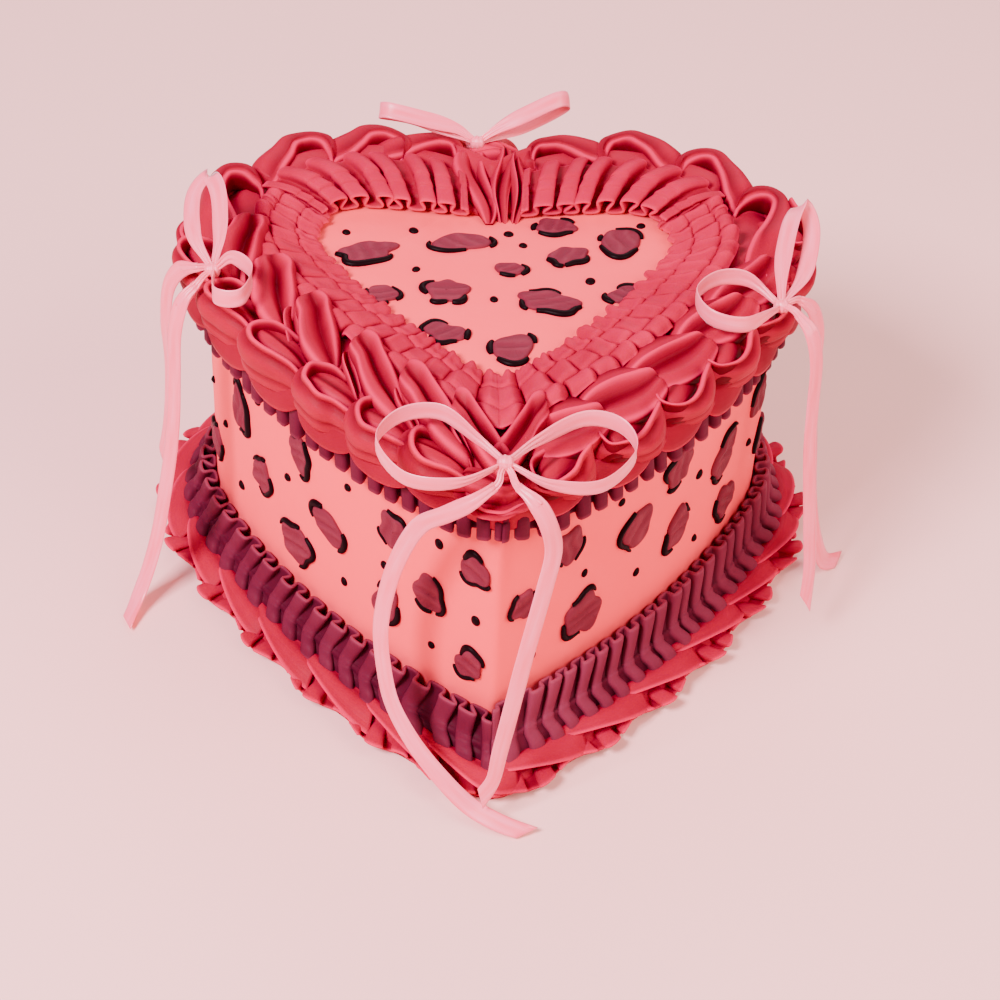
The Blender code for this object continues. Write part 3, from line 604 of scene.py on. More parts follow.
def ruffle(dough, dice, side, near, far, waves, rows, thick, overhang, flatness, steps=18, across=15,
           out_line=0.0, shingle=0.0, tone=0.0, bend=None, tiles=False):
    """A pleated sheet of icing round one half, from near to far, with the given number of waves.

    Each row is (out, z, swell out, swell z, lean, weight of the overhang) and the rows go from
    one lip of the sheet to the other. A wave is pushed along by its lean, and folds over itself
    where its overhang passes 1. Flatness squares the tops of the waves. Tiles are broad waves,
    each a little raised at one end, with a narrow groove between them. Bend changes (w, out, z)
    to another (out, z).
    """
    phase = np.linspace(0.0, waves, waves * steps + 1)
    knots = np.arange(waves + 1)

    def by_wave(lowest, highest):
        return [dice.uniform(lowest, highest) for _ in knots]
    wave_edges = knots + by_wave(-WAVE_SHAKE, WAVE_SHAKE)
    wave_edges[0], wave_edges[-1] = 0.0, waves
    power = np.interp(phase, knots, by_wave(0.5, 1.5) if tiles else by_wave(0.78, 1.15))
    fold = np.interp(phase, knots, by_wave(0.7, 1.2)) * overhang
    share = np.interp(phase, knots, wave_edges) / waves
    height = np.tanh(flatness * np.cos(2.0 * math.pi * phase)) / math.tanh(flatness) * power
    if tiles:
        share = share ** TILE_GROWTH if side > 0 else 1.0 - (1.0 - share) ** TILE_GROWTH
        height = power * (0.8 + side * 1.6 * ((phase + 0.5) % 1.0 - 0.5)
                          - 2.2 * bell(phase % 1.0, 0.5, 0.07))

    walked = np.linspace(near, far, RUN_SAMPLES)
    run = distances(place(side * walked, out_line, 0.0)[:, :2])
    length = run[-1]
    pitch = length / waves
    sideways = fold * pitch / (4.0 * math.pi) * np.sin(4.0 * math.pi * phase)
    sideways -= side * shingle * pitch * 0.5 * height
    own = (share if side > 0 else 1.0 - share) * length
    to_end = np.where(own < 0.5 * length, own if near else pitch, length - own)
    base = side * np.interp(own, run, walked)
    even = np.linspace(0.0, length, RUN_SAMPLES)
    stretch = np.interp(own, even, np.gradient(np.interp(even, run, walked), even[1]))

    columns = smooth_rows(rows, across, lip_steps(across))
    out, z, swell_out, swell_z, lean, weight = (columns[:, i][None, :] for i in range(6))
    height = (height * ramp(to_end / (0.5 * pitch)))[:, None]
    lean_fade = ramp(np.minimum(own, length - own) / (3.0 * pitch))[:, None]
    w = base[:, None] + stretch[:, None] * (sideways[:, None] * weight + lean * lean_fade)
    out = out + height * swell_out
    z = z + height * swell_z
    if bend:
        out, z = bend(w, out, z)
    # Painted shade where the waves sink, a painted highlight on the raised ends of the tiles, and tone on
    # top
    shade = tone + 0.45 * np.minimum(height, 0.3) + 0.3 * np.clip(height - 1.0, 0.0, 0.6)
    dough.sheet(place(w, out, z), thick, shade)


def mirrored(rows, side):
    """Rows of a ruffle whose lean follows the half of the heart."""
    return [(out, z, swell_out, swell_z, side * lean, weight)
            for out, z, swell_out, swell_z, lean, weight in rows]


# Rows of the inner ruffle: its tiles at the sides, and its wide pleats behind
TILE_ROWS = [
    (-39.4, 120.8, -0.5, 0.8, -1.4, 1.0), (-38.4, 122.2, -0.4, 1.1, -1.2, 1.0),
    (-35.4, 123.0, 0.0, 1.1, -0.6, 1.0), (-32.6, 124.4, 0.0, 1.1, 0.2, 1.0),
    (-32.0, 122.8, 0.0, 0.9, 1.6, 1.0), (-31.0, 124.8, 0.0, 1.1, 3.4, 1.0),
    (-27.0, 126.0, 0.0, 1.2, 4.2, 1.0), (-23.4, 127.2, 0.0, 1.2, 4.8, 1.0),
    (-22.6, 126.0, 0.2, 1.0, 6.4, 1.0), (-21.4, 128.0, 0.4, 1.4, 7.4, 1.0),
    (-18.6, 128.0, 0.5, 1.7, 8.0, 1.0), (-16.6, 125.6, 0.5, 1.7, 8.4, 1.0)]
PLEAT_ROWS = [
    (-37.8, 123.8, -0.6, 2.8, 0.0, 1.0), (-36.2, 125.0, -0.6, 3.0, 0.3, 1.0),
    (-32.0, 126.4, -0.2, 3.0, 0.8, 0.8), (-31.2, 127.2, -0.2, 3.1, 1.0, 0.8),
    (-26.6, 128.0, 0.2, 2.9, 1.3, 0.6), (-25.8, 128.7, 0.2, 3.0, 1.5, 0.6),
    (-19.0, 129.2, 0.6, 2.2, 1.6, 0.4), (-12.0, 128.2, 0.8, 1.4, 1.8, 0.3)]
# Lip of a shell on the foot border: along, out, z, and the line where its sheet starts
FOOT_LIP = [(-14.0, 12.5, 8.8), (-8.0, 15.4, 9.8), (0.0, 18.2, 9.6), (8.0, 20.2, 8.2), (15.0, 20.8, 6.2),
            (20.0, 19.6, 4.0)]
FOOT_INNER_OUT = 6.5
FOOT_INNER_Z = 8.6
# Rows of the frill under the rim, and of the ruffle that lies on the stand
FRILL_ROWS = [
    (2.6, 118.0, 0.9, 0.0, 0.0, 0.5), (2.9, 110.0, 1.4, 0.0, 0.8, 1.0),
    (3.1, 103.0, 1.7, 0.3, 1.4, 1.0), (3.3, 97.0, 1.9, -0.6, 2.0, 1.0)]
FOOT_ROWS = [
    (11.0, 4.0, 0.0, 0.6, 0.0, 0.5), (15.0, 3.8, 0.3, 1.1, 0.6, 1.2),
    (18.5, 3.4, 0.9, 1.6, 1.2, 1.6), (21.0, 3.1, 1.3, 1.7, 2.0, 2.0)]


def uneven_tiles(w, out, z):
    """The tiled ruffle rises and sinks a little, and its inner edge wanders."""
    wander = 0.8 * np.sin(0.42 * w + 1.0) + 0.5 * np.sin(1.1 * w)
    return out + wander * ramp((-30.0 - out) / 9.0), z + 0.45 * np.sin(0.29 * w + 0.35 * out)


# Sections of the plain bands of icing that carry the piping: out, z
RIM_SECTION = [
    (-23.0, 120.2), (-22.0, 123.0), (-15.0, 124.5), (-4.0, 123.5), (2.0, 120.5), (4.6, 116.0),
    (5.0, 109.5), (1.0, 109.0), (0.5, 119.0), (-4.0, 120.2)]
BACK_SECTION = [
    (-21.0, 121.0), (-17.0, 122.6), (-11.0, 126.4), (-4.0, 128.0), (2.0, 125.0), (3.4, 118.0),
    (0.0, 117.0), (-20.0, 120.2)]
RUFFLE_SECTION = [
    (-34.5, 120.1), (-34.0, 121.0), (-30.0, 122.6), (-24.0, 124.4), (-19.0, 125.0), (-19.0, 120.1)]
CLEFT_SECTION = [
    (-34.0, 120.2), (-33.0, 122.0), (-20.0, 124.0), (-8.0, 127.0), (-3.0, 130.6), (0.0, 131.8),
    (2.4, 130.4), (5.0, 124.0), (5.4, 112.0), (2.0, 108.0), (-1.0, 120.2)]
FOOT_SECTION = [(0.2, 0.0), (0.2, 7.0), (8.0, 7.4), (14.0, 6.0), (17.0, 3.0), (17.2, 0.0)]


def band(dough, start, end, section, step=4.0):
    """A plain run of icing of the given section of (out, z) under the petals."""
    count = int(abs(end - start) / step) + 1
    out, z = np.array(section).T
    dough.loft(place(np.linspace(start, end, count)[:, None], out, z))


# Shells: along, out and z of the lip, along, out and z of the skirt's foot, and the bulge between
LEFT_SHELL = [
    (8.0, -5.5, 125.5, 8.0, -5.5, 119.0, 0.0), (3.0, -4.0, 128.4, 1.0, -4.0, 118.5, 1.0),
    (-0.6, -1.0, 130.0, -6.0, -2.0, 118.0, 2.4), (-1.8, 3.5, 131.0, -7.5, 2.0, 117.0, 3.2),
    (0.0, 8.0, 131.4, -5.5, 7.0, 114.5, 3.2), (4.0, 10.5, 131.0, 0.0, 9.5, 112.5, 2.8),
    (8.5, 9.8, 130.2, 7.0, 8.4, 111.8, 2.6), (13.0, 7.7, 128.8, 12.5, 6.4, 111.4, 2.4),
    (17.5, 5.8, 127.0, 17.5, 5.0, 111.2, 2.2), (22.0, 4.8, 124.6, 22.0, 4.4, 111.4, 1.8),
    (26.0, 4.4, 121.4, 26.0, 4.0, 112.0, 1.2), (30.0, 3.6, 118.0, 30.0, 3.4, 113.0, 0.6)]
RIGHT_SHELL = [
    (8.0, -3.5, 126.0, 8.0, -3.5, 119.0, 0.0), (4.0, -2.6, 128.4, 4.0, -2.6, 118.0, 0.0),
    (0.4, -1.6, 129.4, 0.0, -2.0, 116.0, 0.4), (-2.0, 1.0, 129.8, -3.4, 0.0, 112.5, 0.6),
    (-2.2, 4.4, 129.8, -4.0, 1.5, 111.0, 0.4), (-0.4, 8.0, 129.2, -2.0, 2.2, 110.6, 0.4),
    (3.4, 10.2, 128.6, 3.4, 3.0, 110.2, 1.4), (8.0, 10.9, 128.6, 9.5, 5.2, 110.0, 3.0),
    (12.6, 10.2, 129.4, 15.0, 8.4, 110.6, 3.6), (17.0, 8.4, 131.2, 19.6, 10.0, 112.4, 3.0),
    (20.6, 7.0, 132.6, 23.0, 9.4, 115.0, 1.8)]
# Leaf at the back: the same, from its tail to its head, which curls inwards
BACK_LEAF = [
    (-38.0, -12.0, 124.0, -38.0, 4.0, 120.0, 0.5), (-32.0, -11.4, 127.4, -32.0, 8.0, 118.0, 1.5),
    (-25.0, -9.4, 128.8, -25.0, 10.0, 117.0, 2.0), (-17.0, -4.6, 129.8, -16.0, 11.0, 116.0, 2.0),
    (-11.0, -0.6, 130.4, -8.0, 11.0, 116.0, 2.0), (-6.0, 1.6, 130.4, 0.0, 9.5, 116.0, 2.4),
    (-2.5, 1.2, 130.2, 4.5, 6.0, 116.5, 2.4), (-0.8, -2.4, 129.6, 5.5, 1.0, 117.5, 2.2),
    (-1.0, -6.6, 128.6, 4.5, -5.0, 119.0, 1.4), (-2.6, -10.6, 127.0, 0.5, -10.0, 120.0, 0.6),
    (-4.6, -13.0, 125.0, -4.0, -13.0, 121.0, 0.2)]
# Edge under a shell's skirt: along, out, z
SECOND_EDGE = [(-5.0, 6.6, 111.0), (-1.0, 8.4, 107.6), (5.0, 8.8, 105.6), (12.0, 8.4, 105.2),
               (18.0, 7.4, 106.6), (23.0, 5.6, 110.0)]
# Inner face of a shell's lip: distance inwards, height from the lip, and tone, which is painted light: a
# painted highlight at the rim and painted shade deeper in the hollow
LIP_INSIDE = [(-0.3, -0.05, 0.9), (-0.75, -0.35, 0.2), (-1.0, -1.2, -0.5), (-1.15, -2.6, -0.9),
              (-1.1, -4.6, -1.0), (-0.9, -7.0, -1.0)]


def shell(dough, dice, place_at, keys, groove=1.8, stations=52, steps=26, swell=0.0):
    """A piped shell: a thin lip round a hollow, a groove outside it, and a skirt that falls.

    Swell lifts the middle of the skirt, which makes it a roll that lies behind its lip.
    """
    keys = np.array(keys)
    shake = np.array([[dice.uniform(-1.0, 1.0) for _ in range(3)] for _ in keys])
    keys[:, :3] += shake * (0.5, 0.45, 0.45)
    keys[:, 3:6] += shake * (0.5, 0.6, 0.5)
    keys[:, 0:4:3] *= dice.uniform(0.93, 1.05)
    rows = smooth_rows(keys, stations)
    lip, foot, bulge = rows[:, None, :3], rows[:, None, 3:6], rows[:, 6:]
    tangent = unit(np.gradient(rows[:, :2], axis=0))
    normal = np.stack([-tangent[:, 1], tangent[:, 0]], 1)[:, None, :]
    fall = np.linalg.norm(foot - lip, axis=2)
    share = (np.linspace(0.0, 1.0, steps) ** 1.35)[None, :]
    depth = fall * share
    station = np.linspace(0.0, 1.0, stations)[:, None]
    strength = ramp(station / 0.22) * ramp((1.0 - station) / 0.12)
    dent = bell(depth, 3.4, 1.5)
    push = (bulge * np.sin(math.pi * share ** 0.8) + 0.4 * bell(depth, 0.0, 0.6)
            + 0.7 * bell(share, 0.97, 0.06) - (dent * groove + 0.9 * bell(share, 0.7, 0.07)) * strength)
    outer = lip + (foot - lip) * share[..., None]
    outer[..., :2] += normal * push[..., None]
    outer[..., 2] += swell * strength * np.sin(math.pi * np.clip(1.25 * share, 0.0, 1.0)) ** 1.4
    inwards, down, inside_painted_light = np.array(LIP_INSIDE).T
    inside = np.repeat(lip, len(inwards), axis=1)
    inside[..., :2] += normal * inwards[None, :, None]
    inside[..., 2] += down * np.clip(fall / 14.0, 0.4, 1.1)
    ring = np.concatenate([outer[:, ::-1], inside], axis=1)
    # Painted highlight along the lip, and painted shade in the groove outside it and in the crease on the
    # skirt
    shade = bell(depth, 0.0, LIP_HIGHLIGHT_WIDTH) - strength * (0.6 * dent + 0.5 * bell(share, 0.72, 0.07))
    inside_painted_light = np.broadcast_to(inside_painted_light, inside.shape[:2])
    dough.loft(place_at(ring), tone=np.concatenate([shade[:, ::-1], inside_painted_light], axis=1))


def border_shell(dough, dice, w, keys, sink=0.0):
    """A shell of the outer row, with a tongue in its hollow and a second edge under its skirt."""
    def place_at(ring):
        low = np.clip((124.0 - ring[..., 2]) / 10.0, 0.0, 1.0)
        z = ring[..., 2] - sink + 0.8 * low * tip_rise(w + ring[..., 0])
        if sink:
            z = np.where(z > 118.0, 118.0 + 0.3 * (z - 118.0), z)
        return place(w + ring[..., 0], ring[..., 1], z)
    shell(dough, dice, place_at, keys)
    petal(dough, dice, LEFT_TONGUE if keys is LEFT_SHELL else RIGHT_TONGUE,
          lambda along, out, z: place(w + along, out, z - sink), lips=(0.6, 0.0))
    edge = smooth_rows(SECOND_EDGE, 26)
    along, out, z = edge[:, :1], edge[:, 1:2], edge[:, 2:] + tip_rise(w + edge[:, :1])
    depth = np.linspace(0.0, 1.0, 9)[None, :]
    # The second edge gets painted shade, as it lies under the skirt
    dough.sheet(place(w + along * dice.uniform(0.94, 1.04),
                      out + 0.5 * math.sin(w) - (out - 3.0) * depth ** 2,
                      z + (120.0 - z) * depth), 1.5, -0.35)


def tip_rise(w):
    """How much higher the hanging edges are towards the front tip."""
    walked = np.abs((w + BODY_LENGTH) % (2.0 * BODY_LENGTH) - BODY_LENGTH)
    return 6.0 * np.clip(1.0 - walked / 95.0, 0.0, 1.0) + 9.0 * bell(walked, 0.0, 11.0)


# Petals of the tables below: their length, the width of the cleft's, and the y where those end
LEAF_LENGTH = 39.0
CLEFT_LEAF_WIDTH = 7.0
CLEFT_FRONT_Y = 56.5

# Sections of petals: how far along, then out, z of eight points from the outer foot over the top to
# the inner foot
LEFT_LEAF = [
    (0.0, -11.5, 124, -11.8, 127.6, -12.2, 128.6, -13.2, 129, -14, 129, -15, 129, -15.8, 128, -16, 124),
    (1.4, -9.6, 124, -9.4, 130, -10.2, 131.6, -11.6, 132.2, -13.2, 131.8, -15, 132, -17, 130.6, -17.4,
     124),
    (5.0, -8.4, 123, -7.8, 130.8, -8.8, 132.5, -10.6, 132.9, -12.8, 130.7, -15.2, 133.2, -18.2, 131.2,
     -18.6, 124),
    (10.0, -7.4, 122, -6.4, 130.6, -7.6, 132.5, -9.8, 132.5, -12.4, 129, -15.2, 133.2, -18.2, 130.8,
     -18.6, 124),
    (16.0, -5.2, 122, -3.6, 129.8, -4.8, 131.9, -7.6, 131.7, -10.4, 127.9, -13.4, 132.5, -16.6, 130,
     -17.4, 123),
    (23.0, -3.0, 121, -1.0, 128.6, -2.3, 130.9, -5.4, 130.6, -8.4, 126.8, -11.4, 131.3, -14.8, 128.8,
     -15.6, 122),
    (30.0, -2.4, 120, -0.2, 127.0, -1.6, 129.2, -4.2, 129, -6.6, 125.9, -9.0, 129.6, -12.0, 127.2,
     -12.8, 121),
    (36.0, -2.4, 119, -0.8, 124.6, -2.0, 126.6, -3.6, 126.6, -5.0, 124.8, -6.6, 126.6, -8.4, 124.8,
     -9.0, 120),
    (39.0, -2.8, 118, -2.2, 121, -2.8, 122, -3.6, 122, -4.4, 121.6, -5.2, 122, -6.0, 121, -6.2, 118)]
RIGHT_LEAF = [
    (0.0, -0.4, 124, 0.0, 127.4, -0.4, 128.6, -1.4, 129.4, -2.6, 129.4, -3.4, 129.4, -4.4, 127.6, -6.0,
     123.5),
    (1.6, 0.8, 123, 1.5, 128, 0.9, 129.4, -1.0, 130.8, -3.2, 130.8, -4.6, 131.5, -7.0, 129.2, -11.0,
     123.5),
    (5.0, 1.4, 122, 2.5, 128, 1.9, 129.6, -0.6, 131.1, -3.6, 130.1, -5.2, 132.2, -8.6, 130, -15.0, 123.5),
    (10.0, 1.6, 121, 3.5, 127.6, 2.8, 129.3, 0.0, 130.8, -4.4, 129.3, -6.2, 132.2, -10.4, 130, -18.0,
     124),
    (16.0, 1.4, 121, 3.6, 127.4, 2.9, 129.1, -0.2, 130.5, -5.6, 128.7, -7.6, 131.9, -12.0, 129.6, -19.5,
     124),
    (22.0, 0.6, 121, 2.6, 127.2, 1.9, 128.9, -1.2, 130.1, -6.8, 127.8, -8.8, 131.1, -12.8, 128.8, -19.5,
     124),
    (28.0, -1.0, 121, 0.4, 126.8, -0.2, 128.4, -3.0, 129.3, -7.8, 126.8, -9.6, 129.9, -13.0, 127.8,
     -18.5, 123),
    (34.0, -4.2, 121, -2.8, 126.2, -3.4, 127.6, -5.4, 128, -8.4, 125.8, -9.8, 127.8, -12.0, 126, -16.0,
     122),
    (38.0, -6.0, 119, -5.4, 122.6, -6.0, 123.6, -7.0, 124, -8.6, 123, -9.6, 123.6, -10.6, 122.6, -13.0,
     120)]
# Petal of the cleft, about CLEFT_LEAF_WIDTH wide
CLEFT_LEAF = [
    (0.0, -1.8, 121, -1.8, 124, -1.4, 125.6, -0.5, 125.8, 0.4, 125.2, 1.2, 125.8, 1.7, 125, 1.8, 121),
    (1.8, -2.9, 120.5, -3.2, 127, -2.3, 129.8, -1.0, 129.6, 0.5, 127.4, 1.9, 129.4, 2.8, 128.2, 2.9,
     120.5),
    (6.5, -3.3, 120.5, -3.7, 127.8, -2.7, 131.2, -1.0, 130.8, 0.5, 126.8, 2.3, 130.8, 3.3, 129.2, 3.3,
     120.5),
    (13.0, -3.3, 120.5, -3.8, 127.4, -2.8, 130.8, -1.1, 130.2, 0.5, 125.8, 2.4, 130.2, 3.4, 128.8, 3.4,
     120.5),
    (21.0, -3.0, 120.5, -3.4, 126, -2.5, 129, -0.9, 128.4, 0.5, 124.4, 2.2, 128.2, 3.1, 127, 3.0, 120.5),
    (29.0, -2.5, 120.3, -2.8, 123.8, -2.1, 126.2, -0.7, 125.8, 0.4, 122.8, 1.8, 125.6, 2.5, 124.6, 2.4,
     120.3),
    (36.0, -1.6, 120.3, -1.8, 121.8, -1.4, 123.4, -0.5, 123.2, 0.2, 121.8, 1.1, 123.2, 1.5, 122.6, 1.6,
     120.3),
    (39.0, -0.9, 120.2, -0.9, 120.8, -0.7, 121.2, -0.3, 121.2, 0.0, 121, 0.4, 121.2, 0.7, 121, 0.8,
     120.2)]
# Petals of the cleft: start x, end x, width, y of the start, phase of the sway, broad or not
CLEFT_PETALS = ((-8.6, -3.0, 11.5, 92.5, 2.4, False), (0.4, 2.6, 8.6, 93.0, 0.6, True),
                (7.4, 7.0, 6.6, 89.0, 3.8, True))
# Petals that lie across the cleft behind them: start x, end x and y
CROSS_PETALS = ((-9.0, 20.0, 94.0), (5.0, -20.0, 92.0))
# Narrow curl beside the head of a leaf on the left
SIDE_CURL = [
    (0.0, -9.0, 123, -9.2, 126.6, -9.4, 127.2, -9.7, 127.2, -10.0, 126.8, -10.3, 127, -10.6, 126.6,
     -10.7, 123),
    (1.6, -6.6, 122, -6.4, 128.4, -7.0, 129.6, -7.7, 129, -8.5, 127.8, -9.3, 129.6, -10.0, 128.6, -10.2,
     122),
    (5.0, -4.8, 121, -4.4, 128, -5.1, 129.2, -5.9, 128, -6.9, 126, -7.9, 128.8, -8.8, 127.8, -9.0, 121),
    (10.0, -3.6, 120, -2.8, 126.6, -3.5, 127.8, -4.4, 126.6, -5.4, 124.6, -6.4, 127.2, -7.2, 126, -7.4,
     120),
    (15.0, -2.0, 119, -1.4, 124.4, -2.0, 125.4, -2.8, 124.8, -3.6, 123.6, -4.4, 125, -5.0, 124, -5.2,
     119),
    (18.0, -1.6, 118, -1.4, 121, -1.7, 121.6, -2.1, 121.4, -2.6, 121, -3.1, 121.4, -3.5, 121, -3.6, 118)]
# Fold in the hollow of a shell
LEFT_TONGUE = [
    (-5.0, 4.6, 119, 4.6, 121.6, 4.2, 122.8, 3.4, 123.4, 2.4, 123.4, 1.2, 123.2, 0.2, 122.2, 0.0, 119),
    (-2.4, 6.8, 119, 6.7, 123.6, 6.0, 125.6, 4.6, 126.6, 2.8, 126.6, 0.8, 126, -1.0, 124.6, -1.4, 119),
    (2.0, 7.2, 119, 7.0, 124.2, 6.2, 126.6, 4.4, 127.9, 2.2, 127.4, -0.2, 126.4, -2.4, 124.8, -3.0, 119),
    (8.0, 6.2, 118, 5.8, 123.8, 4.8, 126.2, 3.0, 127.4, 0.8, 126.4, -1.4, 125.8, -3.8, 124.2, -4.4, 118),
    (15.0, 4.4, 117, 4.0, 122, 3.0, 124.2, 1.4, 125.2, -0.6, 124.2, -2.6, 123.8, -4.8, 122.2, -5.4, 118),
    (22.0, 2.6, 116, 2.2, 119, 1.4, 120.4, 0.2, 120.6, -1.2, 119.8, -2.6, 119.8, -4.0, 118.8, -4.2, 116)]
RIGHT_TONGUE = [
    (0.0, 5.6, 119, 5.6, 122, 5.0, 123, 4.0, 123.4, 2.8, 123.4, 1.6, 123.4, 0.6, 122.6, 0.2, 119),
    (2.5, 8.0, 119, 7.8, 123.4, 7.0, 125.6, 5.2, 127, 3.2, 127.4, 1.0, 127.2, -1.4, 125.6, -2.0, 119),
    (6.5, 8.8, 118, 8.6, 123.4, 7.4, 126.2, 5.0, 127.8, 2.2, 128.2, -0.8, 127.8, -3.6, 126.2, -4.4, 119),
    (11.0, 7.6, 118, 7.2, 123, 6.0, 125.6, 3.4, 127.2, 0.6, 127.4, -2.4, 127.2, -5.0, 126, -6.0, 119),
    (16.0, 6.0, 118, 5.6, 122.2, 4.4, 124.4, 2.0, 125.8, -0.6, 126, -3.2, 126, -5.6, 125, -6.6, 118),
    (21.0, 4.0, 117, 3.6, 120.4, 2.4, 122, 0.4, 122.8, -1.4, 122.8, -3.2, 122.8, -5.0, 122, -5.6, 117)]


def petal(dough, dice, table, place_at, stretch=1.0, lips=(1.0, 0.7), stations=46, across=33, fold=0.0,
          sharp=0.0):
    """A petal lofted through the sections of a table, with crisp lips and a deep fold, painted highlights
    on its lips and painted shade in its fold and at its feet.
    """
    keys = np.array(table, float)
    points = (keys.shape[1] - 1) // 2
    shake = np.array([dice.uniform(-1.0, 1.0) for _ in range(2 * points)])
    fade = np.sin(math.pi * np.linspace(0.04, 0.96, len(keys)))[:, None]
    keys[:, 1:] += fade * shake * ([0.45, 0.35] * points)
    keys[:, 10] -= fold * fade[:, 0]
    keys[:, 8] += 0.2 * fold * fade[:, 0]
    keys[:, 13:15] += sharp * fade * (keys[:, 11:13] + (-1.1, -0.9) - keys[:, 13:15])
    rows = smooth_rows(keys, stations, lip_steps(stations))
    ends = np.linspace(0.0, 1.0, across)
    out, z = (np.stack([smooth_rows(row[first::2, None], across, ends)[:, 0] for row in rows])
              for first in (1, 2))
    where = ends * (points - 1)
    # Painted highlights on the outer and inner lips, and painted shade in the middle fold and at both feet
    lip = lips[0] * bell(where, 1.7, 0.35) + lips[1] * bell(where, 5.2, 0.5)
    painted_pit_shade = 0.9 * bell(where, 4.0, 0.5) + ramp((0.9 - where) / 0.5) + ramp((where - 6.1) / 0.5)
    dough.loft(place_at(rows[:, :1] * stretch, out, z), tone=(lip - painted_pit_shade)[None, :])


def back_leaf(dough, dice, side, head):
    """A big rolled leaf of the border behind."""
    def place_at(ring):
        return place(side * (head + ring[..., 0]), ring[..., 1], ring[..., 2])
    shell(dough, dice, place_at, BACK_LEAF, groove=1.5, steps=30, swell=5.5)


def border_leaf(dough, dice, side, head):
    """A leaf between the shells and the inner ruffle. Those at the front are short and folded."""
    def place_at(along, out, z):
        return place(side * (head - along), -1.0 + 1.27 * (out + 1.0), z)
    front = head < FRONT_LEAF_END
    stretch = dice.uniform(0.93, 1.05) * (0.72 if front else 1.0)
    if side < 0 or front:
        petal(dough, dice, LEFT_LEAF, place_at, stretch, lips=(1.0, 0.8), sharp=0.8, across=43)
    else:
        petal(dough, dice, RIGHT_LEAF, place_at, stretch, lips=(1.0, 1.2), sharp=0.8, across=43, fold=1.7)
    if side < 0:
        petal(dough, dice, SIDE_CURL, place_at, stretch)


# Ribbon

def ribbon(dough, path, across, width, cup, ruck, slant=0.0):
    """A strip along a path, for a width in shares of the usual one.

    Cup bends it across, ruck gathers it near a knot, and slant cuts its end askew.
    """
    ahead = unit(np.gradient(path, axis=0))
    wide = unit(across - ahead * (across * ahead).sum(1, keepdims=True))
    u = np.linspace(-1.0, 1.0, 11)[None, :, None]
    bend = cup * (1.0 - u ** 2) + ruck[:, None, None] * np.cos(2.5 * math.pi * u)
    reach = 0.5 * sizes().ribbon_width / METRE * width[:, None, None] * u
    cut_off = slant * u * np.linspace(0.0, 1.0, len(path))[:, None, None] ** 12
    grid = path[:, None] + wide[:, None] * reach + np.cross(ahead, wide)[:, None] * bend
    dough.sheet(grid + cut_off * unit(path[-1] - path[-2]), sizes().ribbon_thickness / METRE)


def tail_path(name):
    """Points along a tail, and the direction of its width at each."""
    points, first, last = TAILS[name]
    path = smooth_path([Vector(to_frame(*p)) for p in points], TAIL_POINTS)
    face = blend(first, last, np.linspace(0.0, 1.0, TAIL_POINTS) ** 2)
    return path, unit(np.cross(face, np.gradient(path, axis=0)))


# Settings

def length_setting(name, description, default):
    return bpy.props.FloatProperty(name=name, description=description, default=default, unit="LENGTH")


class CakeSizes(bpy.types.PropertyGroup):
    """Sizes that a user may change."""
    ribbon_width: length_setting("Ribbon width", "Width of the ribbon", 0.006)
    ribbon_thickness: length_setting("Ribbon thickness", "Thickness of the ribbon", 0.00035)
    pleat_thickness: length_setting("Pleat thickness", "Thickness of the inner ruffle", 0.001)
    spot_rise: length_setting("Spot height", "How far the painted spots stand out", 0.0013)
    stroke_width: length_setting("Stroke width", "Width of the black strokes", 0.0024)
    dot_radius: length_setting("Dot radius", "Radius of the black dots", 0.0017)
    floor_size: length_setting("Floor size", "Side of the floor", 6.0)


def colour_setting(name, description, default):
    return bpy.props.FloatVectorProperty(
        name=name, description=description, default=default, subtype="COLOR", min=0.0, max=1.0)


class CakeColours(bpy.types.PropertyGroup):
    """Colours that a user may change."""
    body_deep: colour_setting("Body, deep", "Body in its shade", (0.90, 0.030, 0.054))
    body: colour_setting("Body", "Icing of the body", (0.95, 0.049, 0.080))
    body_light: colour_setting("Body, light", "Paler patches of the body", (0.96, 0.074, 0.106))
    # Hot pink: the deep colour is painted shade in the grooves and the light one a painted highlight on the
    # lips, following the tone attribute; a random mottle also mixes in a little of each
    pink_painted_shade: colour_setting("Hot pink, deep", "Grooves of the pink borders", (0.085, 0.0, 0.004))
    pink: colour_setting("Hot pink", "Icing of the pink borders", (0.33, 0.0, 0.024))
    pink_painted_highlight: colour_setting("Hot pink, light", "Lips of the pink borders", (0.62, 0.0004, 0.064))
    # Plum: the deep colour is painted shade in the grooves and the light one a painted highlight on the
    # lips, following the tone attribute; a random mottle also mixes in a little of each
    plum_painted_shade: colour_setting("Plum, deep", "Grooves of the plum borders", (0.024, 0.0008, 0.005))
    plum: colour_setting("Plum", "Icing of the plum borders", (0.075, 0.0040, 0.016))
    plum_painted_highlight: colour_setting("Plum, light", "Lips of the plum borders", (0.20, 0.022, 0.052))
    # Spots: the deep and light colours are mostly a random mottle, with a little painted shade between the
    # knife's ridges and a painted highlight on them
    spot_mottle_and_painted_shade: colour_setting("Spots, deep", "Streaks in the spots", (0.075, 0.006, 0.014))
    spot: colour_setting("Spots", "Painted spots", (0.150, 0.015, 0.031))
    spot_mottle_and_painted_highlight: colour_setting("Spots, light", "Ridges of the spots", (0.29, 0.046, 0.074))
    black: colour_setting("Black", "Strokes and dots", (0.006, 0.001, 0.002))
    ribbon: colour_setting("Ribbon", "Satin ribbon", (0.95, 0.080, 0.16))
    ribbon_light: colour_setting("Ribbon, light", "Paler threads of the ribbon", (0.97, 0.16, 0.27))
    floor: colour_setting("Floor", "Floor of the studio", (0.97, 0.46, 0.46))


def sizes():
    return bpy.context.scene.cake_sizes


